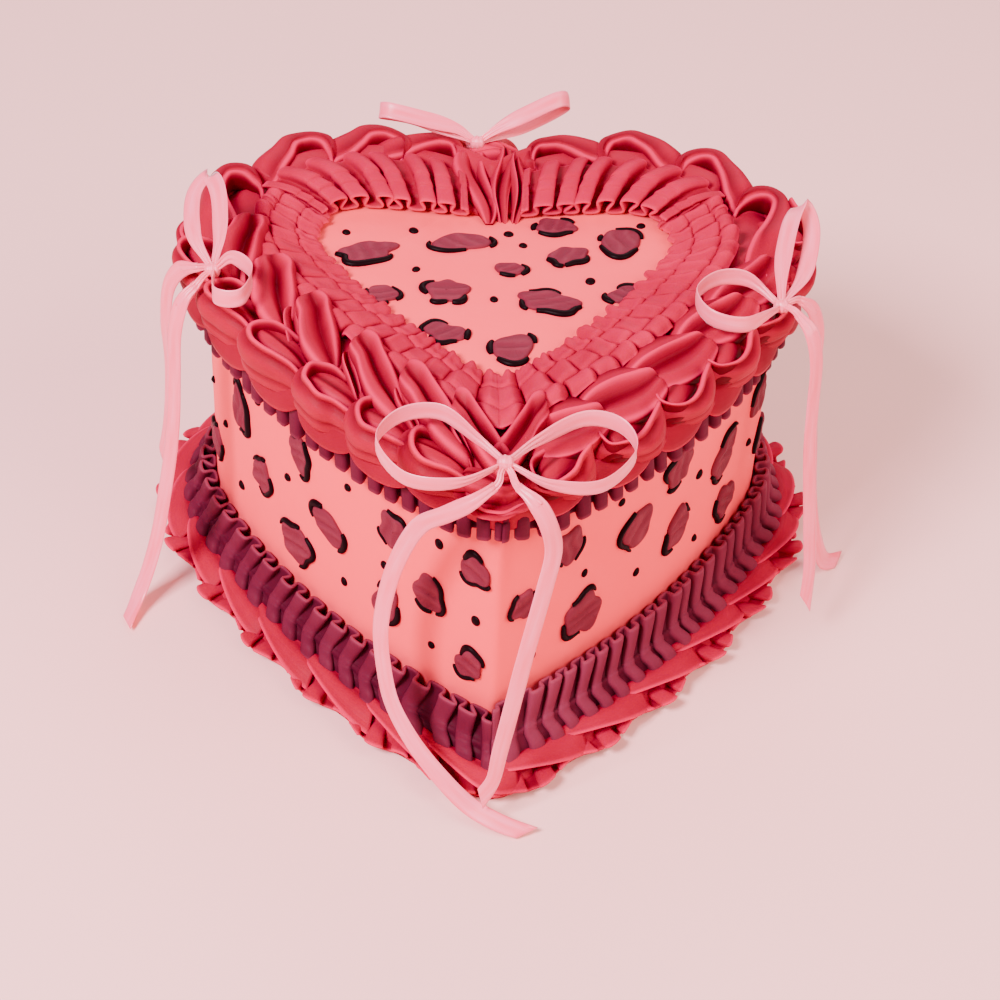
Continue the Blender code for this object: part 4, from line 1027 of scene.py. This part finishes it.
def colours(*names):
    """The chosen colours of those names."""
    return [tuple(getattr(bpy.context.scene.cake_colours, name)) for name in names]


def kept_material(name, make, tones, *options, **more):
    """The material of that name, made at its first use from the chosen colours."""
    return bpy.data.materials.get(name) or make(name, colours(*tones), *options, **more)


def pink_icing():
    return kept_material("hot_pink_icing_look", icing, ("pink_painted_shade", "pink", "pink_painted_highlight"), 0.45)


def plum_icing():
    return kept_material("plum_icing_look", icing, ("plum_painted_shade", "plum", "plum_painted_highlight"), 0.5, glow=0.06)


def ribbon_satin():
    return kept_material("ribbon_look", satin, ("ribbon", "ribbon_light"))


def halves(seed):
    """Both halves of a border: side, name, an empty dough and the dice of its shakes."""
    for side, name in HALVES:
        yield side, name, Dough(), random.Random(seed + side)


# Operators

class CAKE_OT_stage(bpy.types.Operator):
    """Adds the camera, the floor and the studio lights"""
    bl_idname = "cake.stage"
    bl_label = "Stage"

    def execute(self, context):
        add_camera()
        bpy.ops.object.select_all(action="DESELECT")
        bpy.ops.mesh.primitive_plane_add(size=sizes().floor_size, location=(0.0, 0.0, 0.0))
        floor = context.active_object
        floor.name = "floor"
        material, tree, shader = new_material("floor_look")
        where = tree.nodes.new("ShaderNodeTexCoord").outputs["Object"]
        tone = colours("floor")[0]
        add_colours(tree, shader, add_noise(tree, where, 3.0, 2.0),
                    (tone, tuple(min(1.0, 1.02 * c) for c in tone)))
        set_inputs(shader, Roughness=0.7)
        floor.data.materials.append(material)
        for name, light in LIGHTS.items():
            add_area(name, *light)
        world = bpy.data.worlds.new("studio")
        world.use_nodes = True
        background = world.node_tree.nodes["Background"].inputs
        background["Color"].default_value = WORLD_COLOUR
        background["Strength"].default_value = WORLD_STRENGTH
        context.scene.world = world
        return {"FINISHED"}


def add_camera():
    """The camera looks at the middle of the stand, and the cake is a little turned on it."""
    level = Matrix.Rotation(-CAKE_TURN, 3, "Z")
    eye = CAMERA_DISTANCE * Vector((0.0, -math.cos(CAMERA_RISE), math.sin(CAMERA_RISE)))
    ahead = level @ Vector((0.0, math.cos(CAMERA_RISE), -math.sin(CAMERA_RISE)))
    up = level @ Vector((0.0, math.sin(CAMERA_RISE), math.cos(CAMERA_RISE)))
    right = level @ Vector((1.0, 0.0, 0.0))
    across = right * math.cos(CAMERA_ROLL) + up * math.sin(CAMERA_ROLL)
    upright = up * math.cos(CAMERA_ROLL) - right * math.sin(CAMERA_ROLL)
    spot = level @ (eye - Vector((CAKE_X, CAKE_Y, 0.0))) + Vector((*SHIFT, 0.0))
    data = bpy.data.cameras.new("camera")
    data.lens = CAMERA_LENS
    data.shift_x, data.shift_y = CAMERA_SHIFT
    camera = bpy.data.objects.new("camera", data)
    axes = Matrix((across, upright, -ahead)).transposed()
    camera.matrix_world = Matrix.Translation(spot * METRE) @ axes.to_4x4()
    bpy.context.scene.collection.objects.link(camera)
    bpy.context.scene.camera = camera


def add_area(name, location, size, power, colour):
    data = bpy.data.lights.new(name, "AREA")
    data.size = size
    data.energy = power
    data.color = colour
    light = bpy.data.objects.new(name, data)
    light.location = location
    light.rotation_euler = (LIGHT_AIM - Vector(location)).to_track_quat("-Z", "Y").to_euler()
    bpy.context.scene.collection.objects.link(light)


class CAKE_OT_tails(bpy.types.Operator):
    """Makes the hanging ends of the ribbons"""
    bl_idname = "cake.tails"
    bl_label = "Ribbon tails"

    def execute(self, context):
        for name in TAILS:
            make_tail(name)
        return {"FINISHED"}


def make_tail(name):
    path, across = tail_path(name)
    share = np.linspace(0.0, 1.0, TAIL_POINTS)
    dough = Dough()
    ribbon(dough, path, across, width=0.55 + 0.45 * ramp(share / 0.08), cup=0.25,
           ruck=0.35 * (1.0 - ramp(share / 0.1)), slant=TAIL_SLANT)
    piece = dough.piece("ribbon_tail_" + name, ribbon_satin(), "ribbon", ["tail_" + name])
    distances(path)[-1] * METRE
    [tuple(p * METRE) for p in path]


class CAKE_OT_bows(bpy.types.Operator):
    """Makes the loops and knots of the four bows"""
    bl_idname = "cake.bows"
    bl_label = "Bows"

    def execute(self, context):
        for name in KNOTS:
            make_bow(name)
        return {"FINISHED"}


def make_bow(name):
    """A bow: its loops, the starts of its tails under the knot, and the knot."""
    knot = to_frame(*KNOTS[name])
    dough = Dough()
    share = np.linspace(0.0, 1.0, LOOP_POINTS)
    gather = ramp(np.minimum(share, 1.0 - share) / 0.22)
    for points, first, last in LOOPS[name]:
        points = [to_frame(*p) for p in points]
        start, end = (knot + unit(points[i] - knot) * KNOT_REACH for i in (0, -1))
        path = smooth_path([start, *points, end], LOOP_POINTS)
        ribbon(dough, path, blend(first, last, share), 0.42 + 0.58 * gather, 0.2, 0.45 * (1.0 - gather))
    for tail in (key for key in TAILS if key.startswith(name)):
        points, across = tail_path(tail)
        middle = 0.5 * (knot + points[0]) + NECK_LIFT
        path = smooth_path([knot, middle, points[0], points[5]], NECK_POINTS)
        ribbon(dough, path, np.broadcast_to(across[2], path.shape), np.linspace(0.3, 0.66, NECK_POINTS),
               0.3, np.linspace(0.4, 0.25, NECK_POINTS))
    add_knot(dough, knot)
    dough.piece("ribbon_bow_" + name, ribbon_satin(), "ribbon", ["bow_" + name])


def add_knot(dough, knot):
    """The band that ties a bow: a small barrel with folds round it."""
    angle = turns(40)
    along = np.linspace(-1.0, 1.0, 15)[:, None]
    girth = np.sqrt(np.clip(1.02 - along ** 2, 0.02, 1.0)) ** 0.55
    girth = girth * (1.0 + 0.07 * np.cos(3.0 * math.pi * along + 0.6 * np.sin(angle)))
    ring = np.broadcast_arrays(along, girth * np.cos(angle), girth * np.sin(angle))
    dough.loft(knot + np.stack(ring, -1) * KNOT_SIZE)


class CAKE_OT_body(bpy.types.Operator):
    """Makes the iced body of the cake"""
    bl_idname = "cake.body"
    bl_label = "Cake body"

    def execute(self, context):
        w = np.linspace(-BODY_LENGTH, BODY_LENGTH, BODY_COLUMNS + 1)[:-1]
        rows = [(0.0, 0.0), (0.0, 30.0), (0.0, 60.0), (0.0, 90.0)]
        rows += [(-EDGE_ROUNDING * (1 - math.cos(a)), HEIGHT - EDGE_ROUNDING * (1 - math.sin(a)))
                 for a in np.linspace(0.0, 0.5 * math.pi, 5)]
        bm = bmesh.new()
        rings = [[bm.verts.new(p * METRE) for p in place(w, out, z)] for out, z in rows]
        for low, high in zip(rings, rings[1:]):
            for i in range(BODY_COLUMNS):
                j = (i + 1) % BODY_COLUMNS
                bm.faces.new((low[i], low[j], high[j], high[i]))
        bm.faces.new(rings[0][::-1])
        bm.faces.new(rings[-1])
        bmesh.ops.triangulate(bm, faces=[f for f in bm.faces if len(f.verts) > 4])
        mesh = bpy.data.meshes.new("cake_body")
        bm.to_mesh(mesh)
        bm.free()
        turn_outwards(mesh)
        material = icing("body_icing_look", colours("body_deep", "body", "body_light"), 0.45,
                         streaks=0.0, glow=0.15, glow_radius=(1.0, 0.3, 0.3))
        body = finish_piece(bpy.data.objects.new("cake_body", mesh), material, ["cake"])
        body.data.set_sharp_from_angle(angle=math.radians(50))
        return {"FINISHED"}


class CAKE_OT_marks(bpy.types.Operator):
    """Makes the painted spots, their black strokes and the black dots"""
    bl_idname = "cake.marks"
    bl_label = "Painted marks"

    def execute(self, context):
        spots, strokes = Dough(), Dough()
        dice = random.Random(MARKS_SEED)
        for x, y, length, width, turn, arcs in TOP_SPOTS:
            add_spot(spots, strokes, top_surface(x, y), length, width, turn, arcs, dice)
        for w, z, length, width, turn, arcs in WALL_SPOTS:
            add_spot(spots, strokes, wall_surface(w, z), length, width, turn, arcs, dice)
        for x, y in TOP_DOTS:
            add_dot(strokes, top_surface(x, y), dice)
        for w, z in WALL_DOTS:
            add_dot(strokes, wall_surface(w, z), dice)
        plum = icing("spot_look", colours("spot_mottle_and_painted_shade", "spot", "spot_mottle_and_painted_highlight"), 0.45, streaks=0.5, glow=0.05)
        black = icing("black_icing_look", colours("black", "black", "black"), 0.4, streaks=0.1, glow=0.0)
        spots.piece("plum_spots", plum, "plum_icing", ["cake"])
        strokes.piece("black_marks", black, "plum_icing", ["cake"])
        return {"FINISHED"}


def top_surface(x, y):
    """A map from (right, up, height) about a point of the top to the frame."""
    return lambda u, v, height: to_frame(x + u, y + v, HEIGHT + height)


def wall_surface(w, z):
    """The same about a point of the wall."""
    return lambda u, v, height: place(w + u, height, z + v)


def spot_outline(length, width, turn, dice):
    """A function from angle to radius vector, for an uneven round smear."""
    waves = [(k, dice.uniform(0.0, 2 * math.pi), dice.uniform(0.03, 0.11)) for k in (2, 3, 5)]
    spin = math.radians(turn)

    def edge(angle):
        size = 1.0 + sum(a * np.cos(k * angle + p) for k, p, a in waves)
        u = 0.5 * length * size * np.cos(angle)
        v = 0.5 * width * size * np.sin(angle)
        return u * math.cos(spin) - v * math.sin(spin), u * math.sin(spin) + v * math.cos(spin)
    return edge


def add_spot(spots, strokes, surface, length, width, turn, arcs, dice):
    """A smear of icing with a palette knife's ridges, and black strokes along its edge."""
    edge = spot_outline(length, width, turn, dice)
    shares, lift = (np.array(SPOT_PROFILE)[:, i:i + 1] for i in (0, 1))
    u, v = (way * shares for way in edge(turns(40)))
    sweep = dice.uniform(0.0, math.pi)
    ridge = np.sin((u * math.cos(sweep) + v * math.sin(sweep)) * dice.uniform(0.9, 1.5)
                   + 1.2 * np.sin(0.5 * v) + dice.uniform(0, 6))
    lean = (u * math.cos(sweep + 1.2) + v * math.sin(sweep + 1.2)) / length
    inside = np.clip((1.0 - shares) * 4.0, 0.0, 1.0)
    height = sizes().spot_rise / METRE * (lift + inside * (0.22 * ridge + 0.35 * lean))
    # Painted highlight on the knife's ridges and painted shade between them, through the tone
    spots.loft(surface(u, v, height), tone=0.15 * inside * ridge)
    for first, last in arcs:
        stroke(strokes, surface, edge, math.radians(first - turn), math.radians(last - turn), dice)


def stroke(strokes, surface, edge, first, last, dice):
    """A short black stroke that follows the edge of a spot."""
    share = np.linspace(0.0, 1.0, 18)
    middle = np.stack(edge(first + (last - first) * share), 1) * (1.0 + 0.10 * dice.uniform(0.6, 1.3))
    ahead = unit(np.gradient(middle, axis=0))
    wide = 0.5 * sizes().stroke_width / METRE * dice.uniform(0.8, 1.25)
    wide = (wide * (0.25 + 0.75 * np.sin(math.pi * np.clip(share * 0.86 + 0.09, 0, 1)) ** 0.6))[:, None]
    across = wide * np.cos(turns(12))
    strokes.loft(surface(middle[:, :1] - ahead[:, 1:] * across, middle[:, 1:] + ahead[:, :1] * across,
                         0.35 + (0.55 + 0.45 * wide) * np.sin(turns(12))))


def add_dot(strokes, surface, dice):
    """A small black dome with an uneven edge."""
    radius = sizes().dot_radius / METRE * dice.uniform(0.85, 1.15)
    angle = turns(18)
    shares, height = (np.array(DOT_PROFILE)[:, i:i + 1] for i in (0, 1))
    reach = radius * shares * (1.0 + 0.08 * np.cos(2 * angle + dice.uniform(0, 6)))
    strokes.loft(surface(reach * np.cos(angle), reach * np.sin(angle), height))


class CAKE_OT_top_border(bpy.types.Operator):
    """Pipes the petals and fans round the top edge"""
    bl_idname = "cake.top_border"
    bl_label = "Top border"

    def execute(self, context):
        for side, name, dough, dice in halves(RIM_SEED):
            band(dough, 0.0, side * RIM_LENGTH, RIM_SECTION)
            band(dough, side * BACK_BAND_START, side * RIM_LENGTH, BACK_SECTION)
            for w in SHELLS[side]:
                behind = abs(w) > BACK_START
                keys = LEFT_SHELL if side < 0 or behind else RIGHT_SHELL
                sink = BACK_SINK if behind else FIRST_SINK if w == SHELLS[-1][0] else 0.0
                border_shell(dough, dice, w, keys, sink)
            for head in LEAVES[side]:
                border_leaf(dough, dice, side, head)
            for head in BACK_LEAVES[side]:
                back_leaf(dough, dice, side, head)
            dough.piece("petal_border_" + name, pink_icing(), "hot_pink_icing", ["top_border_" + name])
        return {"FINISHED"}


class CAKE_OT_inner_ruffle(bpy.types.Operator):
    """Pipes the pleated ruffle round the smooth top"""
    bl_idname = "cake.inner_ruffle"
    bl_label = "Inner ruffle"

    def execute(self, context):
        thick = sizes().pleat_thickness / METRE
        for side, name, dough, dice in halves(RUFFLE_SEED):
            band(dough, 0.0, side * RIM_LENGTH, RUFFLE_SECTION)
            # The small tone paints the ruffle a little lighter, towards the painted highlight colour
            ruffle(dough, dice, side, 0.0, TILES_END + 4.0, waves=17, rows=mirrored(TILE_ROWS, side),
                   thick=thick, overhang=0.3, flatness=3.0, steps=30, across=37, out_line=-31.0,
                   shingle=0.2, tone=0.1, bend=uneven_tiles, tiles=True)
            ruffle(dough, dice, side, TILES_END, RIM_LENGTH, waves=7, rows=mirrored(PLEAT_ROWS, side),
                   thick=1.1 * thick, overhang=2.9, flatness=0.7, steps=30, across=25, out_line=-36.0,
                   shingle=0.2, tone=0.15)
            dough.piece("pleated_ruffle_" + name, pink_icing(), "hot_pink_icing",
                        ["inner_ruffle_" + name])
        return {"FINISHED"}


class CAKE_OT_cleft_petals(bpy.types.Operator):
    """Pipes the long petals at the cleft of the heart"""
    bl_idname = "cake.cleft_petals"
    bl_label = "Cleft petals"

    def execute(self, context):
        dough = Dough()
        reach = BODY_LENGTH - RIM_LENGTH + 3.0
        band(dough, BODY_LENGTH - reach, BODY_LENGTH + reach, CLEFT_SECTION, step=2.0)
        dice = random.Random(CLEFT_SEED)
        for petal_keys in CLEFT_PETALS:
            cleft_petal(dough, dice, *petal_keys)
        for start, end, y in CROSS_PETALS:
            cross_petal(dough, dice, start, end, y)
        dough.piece("cleft_ruffle", pink_icing(), "hot_pink_icing", ["cleft_petals"])
        return {"FINISHED"}


def cleft_petal(dough, dice, start, end, wide, back, phase, broad):
    """A long petal from the cleft's back to the point of the smooth top."""
    def place_at(along, out, z):
        if broad:
            out = (out + 9.0) / 2.6
            z = z - 2.0 * np.clip(along / 12.0 - 1.0, 0.0, 2.6)
        share = np.clip(along / LEAF_LENGTH, 0.0, 1.0)
        sway = 1.5 * np.sin(6.0 * share + phase)
        x = start + (end - start) * ramp(share) + wide / CLEFT_LEAF_WIDTH * out + sway
        return to_frame(x, back + (CLEFT_FRONT_Y - back) * share, z)
    petal(dough, dice, RIGHT_LEAF if broad else CLEFT_LEAF, place_at, across=45)


def cross_petal(dough, dice, start, end, y):
    """A petal that lies across the cleft."""
    def place_at(along, out, z):
        share = np.clip(along / LEAF_LENGTH, 0.0, 1.0)
        return to_frame(start + (end - start) * share, y - 3.0 * share ** 2 + out, z)
    petal(dough, dice, CLEFT_LEAF, place_at)


class CAKE_OT_under_frill(bpy.types.Operator):
    """Pipes the small plum frill under the top border"""
    bl_idname = "cake.under_frill"
    bl_label = "Under frill"

    def execute(self, context):
        for side, name, dough, dice in halves(FRILL_SEED):
            ruffle(dough, dice, side, 0.0, BODY_LENGTH, waves=42, rows=FRILL_ROWS, thick=1.5, overhang=1.25,
                   flatness=2.6 if side < 0 else 1.4, across=11, bend=raised_at_tip)
            dough.piece("plum_frill_" + name, plum_icing(), "plum_icing", ["under_frill_" + name])
        return {"FINISHED"}


def raised_at_tip(w, out, z):
    """The hanging edge of the frill is higher towards the front tip."""
    return out, z + 0.6 * tip_rise(w) * np.clip((112.0 - z) / 8.0, 0.0, 1.0)


class CAKE_OT_plum_base(bpy.types.Operator):
    """Pipes the two rows of plum folds round the foot"""
    bl_idname = "cake.plum_base"
    bl_label = "Plum base border"

    def execute(self, context):
        for side, name, dough, dice in halves(PLUM_SEED):
            top, waves, loops, tone = PLUM_FOLDS[side]
            crease = 0.5 * top + 2.0
            band(dough, 0.0, side * BODY_LENGTH,
                 [(0.2, 7.2), (0.2, top - 5.0 - loops), (1.4, top - 5.0 - loops), (4.6, crease - 2.0),
                  (9.0, 9.0), (8.6, 7.2)])
            rows = [(3.2, top, 1.6 + loops, 0.6, 2.2, 1.3 + 0.4 * loops),
                    (4.4, top - 3.0, 1.5 + 0.6 * loops, 0.9, 1.2, 1.1 + 0.3 * loops),
                    (6.4, crease + 1.6, 0.9, 0.9, -1.6, 0.7), (7.6, crease + 0.6, 0.5, 0.7, -1.8, 0.6),
                    (8.2, crease - 1.4, 0.9, 0.9, -1.8, 0.7),
                    (10.2, 12.0, 1.5, 0.9, 0.6, 1.0), (11.4, 8.6, 1.8, 0.7, 1.8, 1.2)]
            # tone paints the folds lighter, towards the painted highlight colour
            ruffle(dough, dice, side, 0.0, BODY_LENGTH, waves, rows, thick=1.3, overhang=1.25, flatness=1.1,
                   steps=22, across=23, out_line=6.0, tone=tone)
            dough.piece("plum_folds_" + name, plum_icing(), "plum_icing", ["plum_base_" + name])
        return {"FINISHED"}


class CAKE_OT_pink_base(bpy.types.Operator):
    """Pipes the ruffled pink border that lies round the foot"""
    bl_idname = "cake.pink_base"
    bl_label = "Pink base border"

    def execute(self, context):
        for side, name, dough, dice in halves(PINK_SEED):
            band(dough, 0.0, side * BODY_LENGTH, FOOT_SECTION)
            ruffle(dough, dice, side, 0.0, BODY_LENGTH, waves=38, rows=FOOT_ROWS, thick=1.1, overhang=1.2,
                   flatness=0.8, steps=22, across=13, out_line=18.0, bend=foot_lobes)
            for i in range(BOARD_SHELLS):
                board_shell(dough, dice, side * (i + 0.5) * BODY_LENGTH / BOARD_SHELLS)
            dough.piece("pink_foot_" + name, pink_icing(), "hot_pink_icing", ["pink_base_" + name])
        return {"FINISHED"}


def foot_lobes(w, out, z):
    """The foot ruffle swings outwards and up once for each of its shells."""
    lobe = np.cos(2.0 * math.pi * (np.abs(w) / (BODY_LENGTH / BOARD_SHELLS) - 0.62))
    far = np.clip((out - 12.0) / 8.0, 0.0, 1.3)
    return out + 1.9 * lobe * far, z + 0.5 * (1.0 + lobe) * far


def board_shell(dough, dice, w):
    """A smooth overhanging shell of the foot border, whose lip swings outwards."""
    keys = np.array(FOOT_LIP)
    keys[:, 1] += dice.uniform(-0.8, 0.6)
    keys[:, 2] += dice.uniform(-0.5, 0.5)
    along, out, z = (column[:, None] for column in smooth_rows(keys, 26).T)
    share = np.linspace(0.0, 1.0, 12)[None, :]
    out = FOOT_INNER_OUT + (out - FOOT_INNER_OUT) * share
    z = FOOT_INNER_Z + (z - FOOT_INNER_Z) * share ** 1.6
    z = z + 0.9 * np.sin(math.pi * share) + 0.55 * np.cos(11 * share)
    dough.sheet(place(w + along + 2.0 * share, out, z), 1.6)


class CAKE_PT_panel(bpy.types.Panel):
    """Lists the steps that build the cake"""
    bl_label = "Heart Shaped Cake"
    bl_idname = "CAKE_PT_panel"
    bl_space_type = "VIEW_3D"
    bl_region_type = "UI"
    bl_category = "Cake"

    def draw(self, context):
        for settings in (context.scene.cake_sizes, context.scene.cake_colours):
            for key in settings.bl_rna.properties.keys():
                if key not in ("rna_type", "name"):
                    self.layout.prop(settings, key)
        for step in STEPS:
            self.layout.operator(step.bl_idname)


STEPS = (CAKE_OT_stage, CAKE_OT_tails, CAKE_OT_bows, CAKE_OT_body, CAKE_OT_marks, CAKE_OT_top_border,
         CAKE_OT_inner_ruffle, CAKE_OT_cleft_petals, CAKE_OT_under_frill, CAKE_OT_plum_base,
         CAKE_OT_pink_base)
CLASSES = (CakeSizes, CakeColours) + STEPS + (CAKE_PT_panel,)


def register():
    for cls in CLASSES:
        bpy.utils.register_class(cls)
    bpy.types.Scene.cake_sizes = bpy.props.PointerProperty(type=CakeSizes)
    bpy.types.Scene.cake_colours = bpy.props.PointerProperty(type=CakeColours)


def unregister():
    del bpy.types.Scene.cake_colours
    del bpy.types.Scene.cake_sizes
    for cls in reversed(CLASSES):
        bpy.utils.unregister_class(cls)


def main():
    register()
    for step in STEPS:
        getattr(bpy.ops.cake, step.bl_idname.split(".")[1])()


if __name__ == "__main__":
    main()
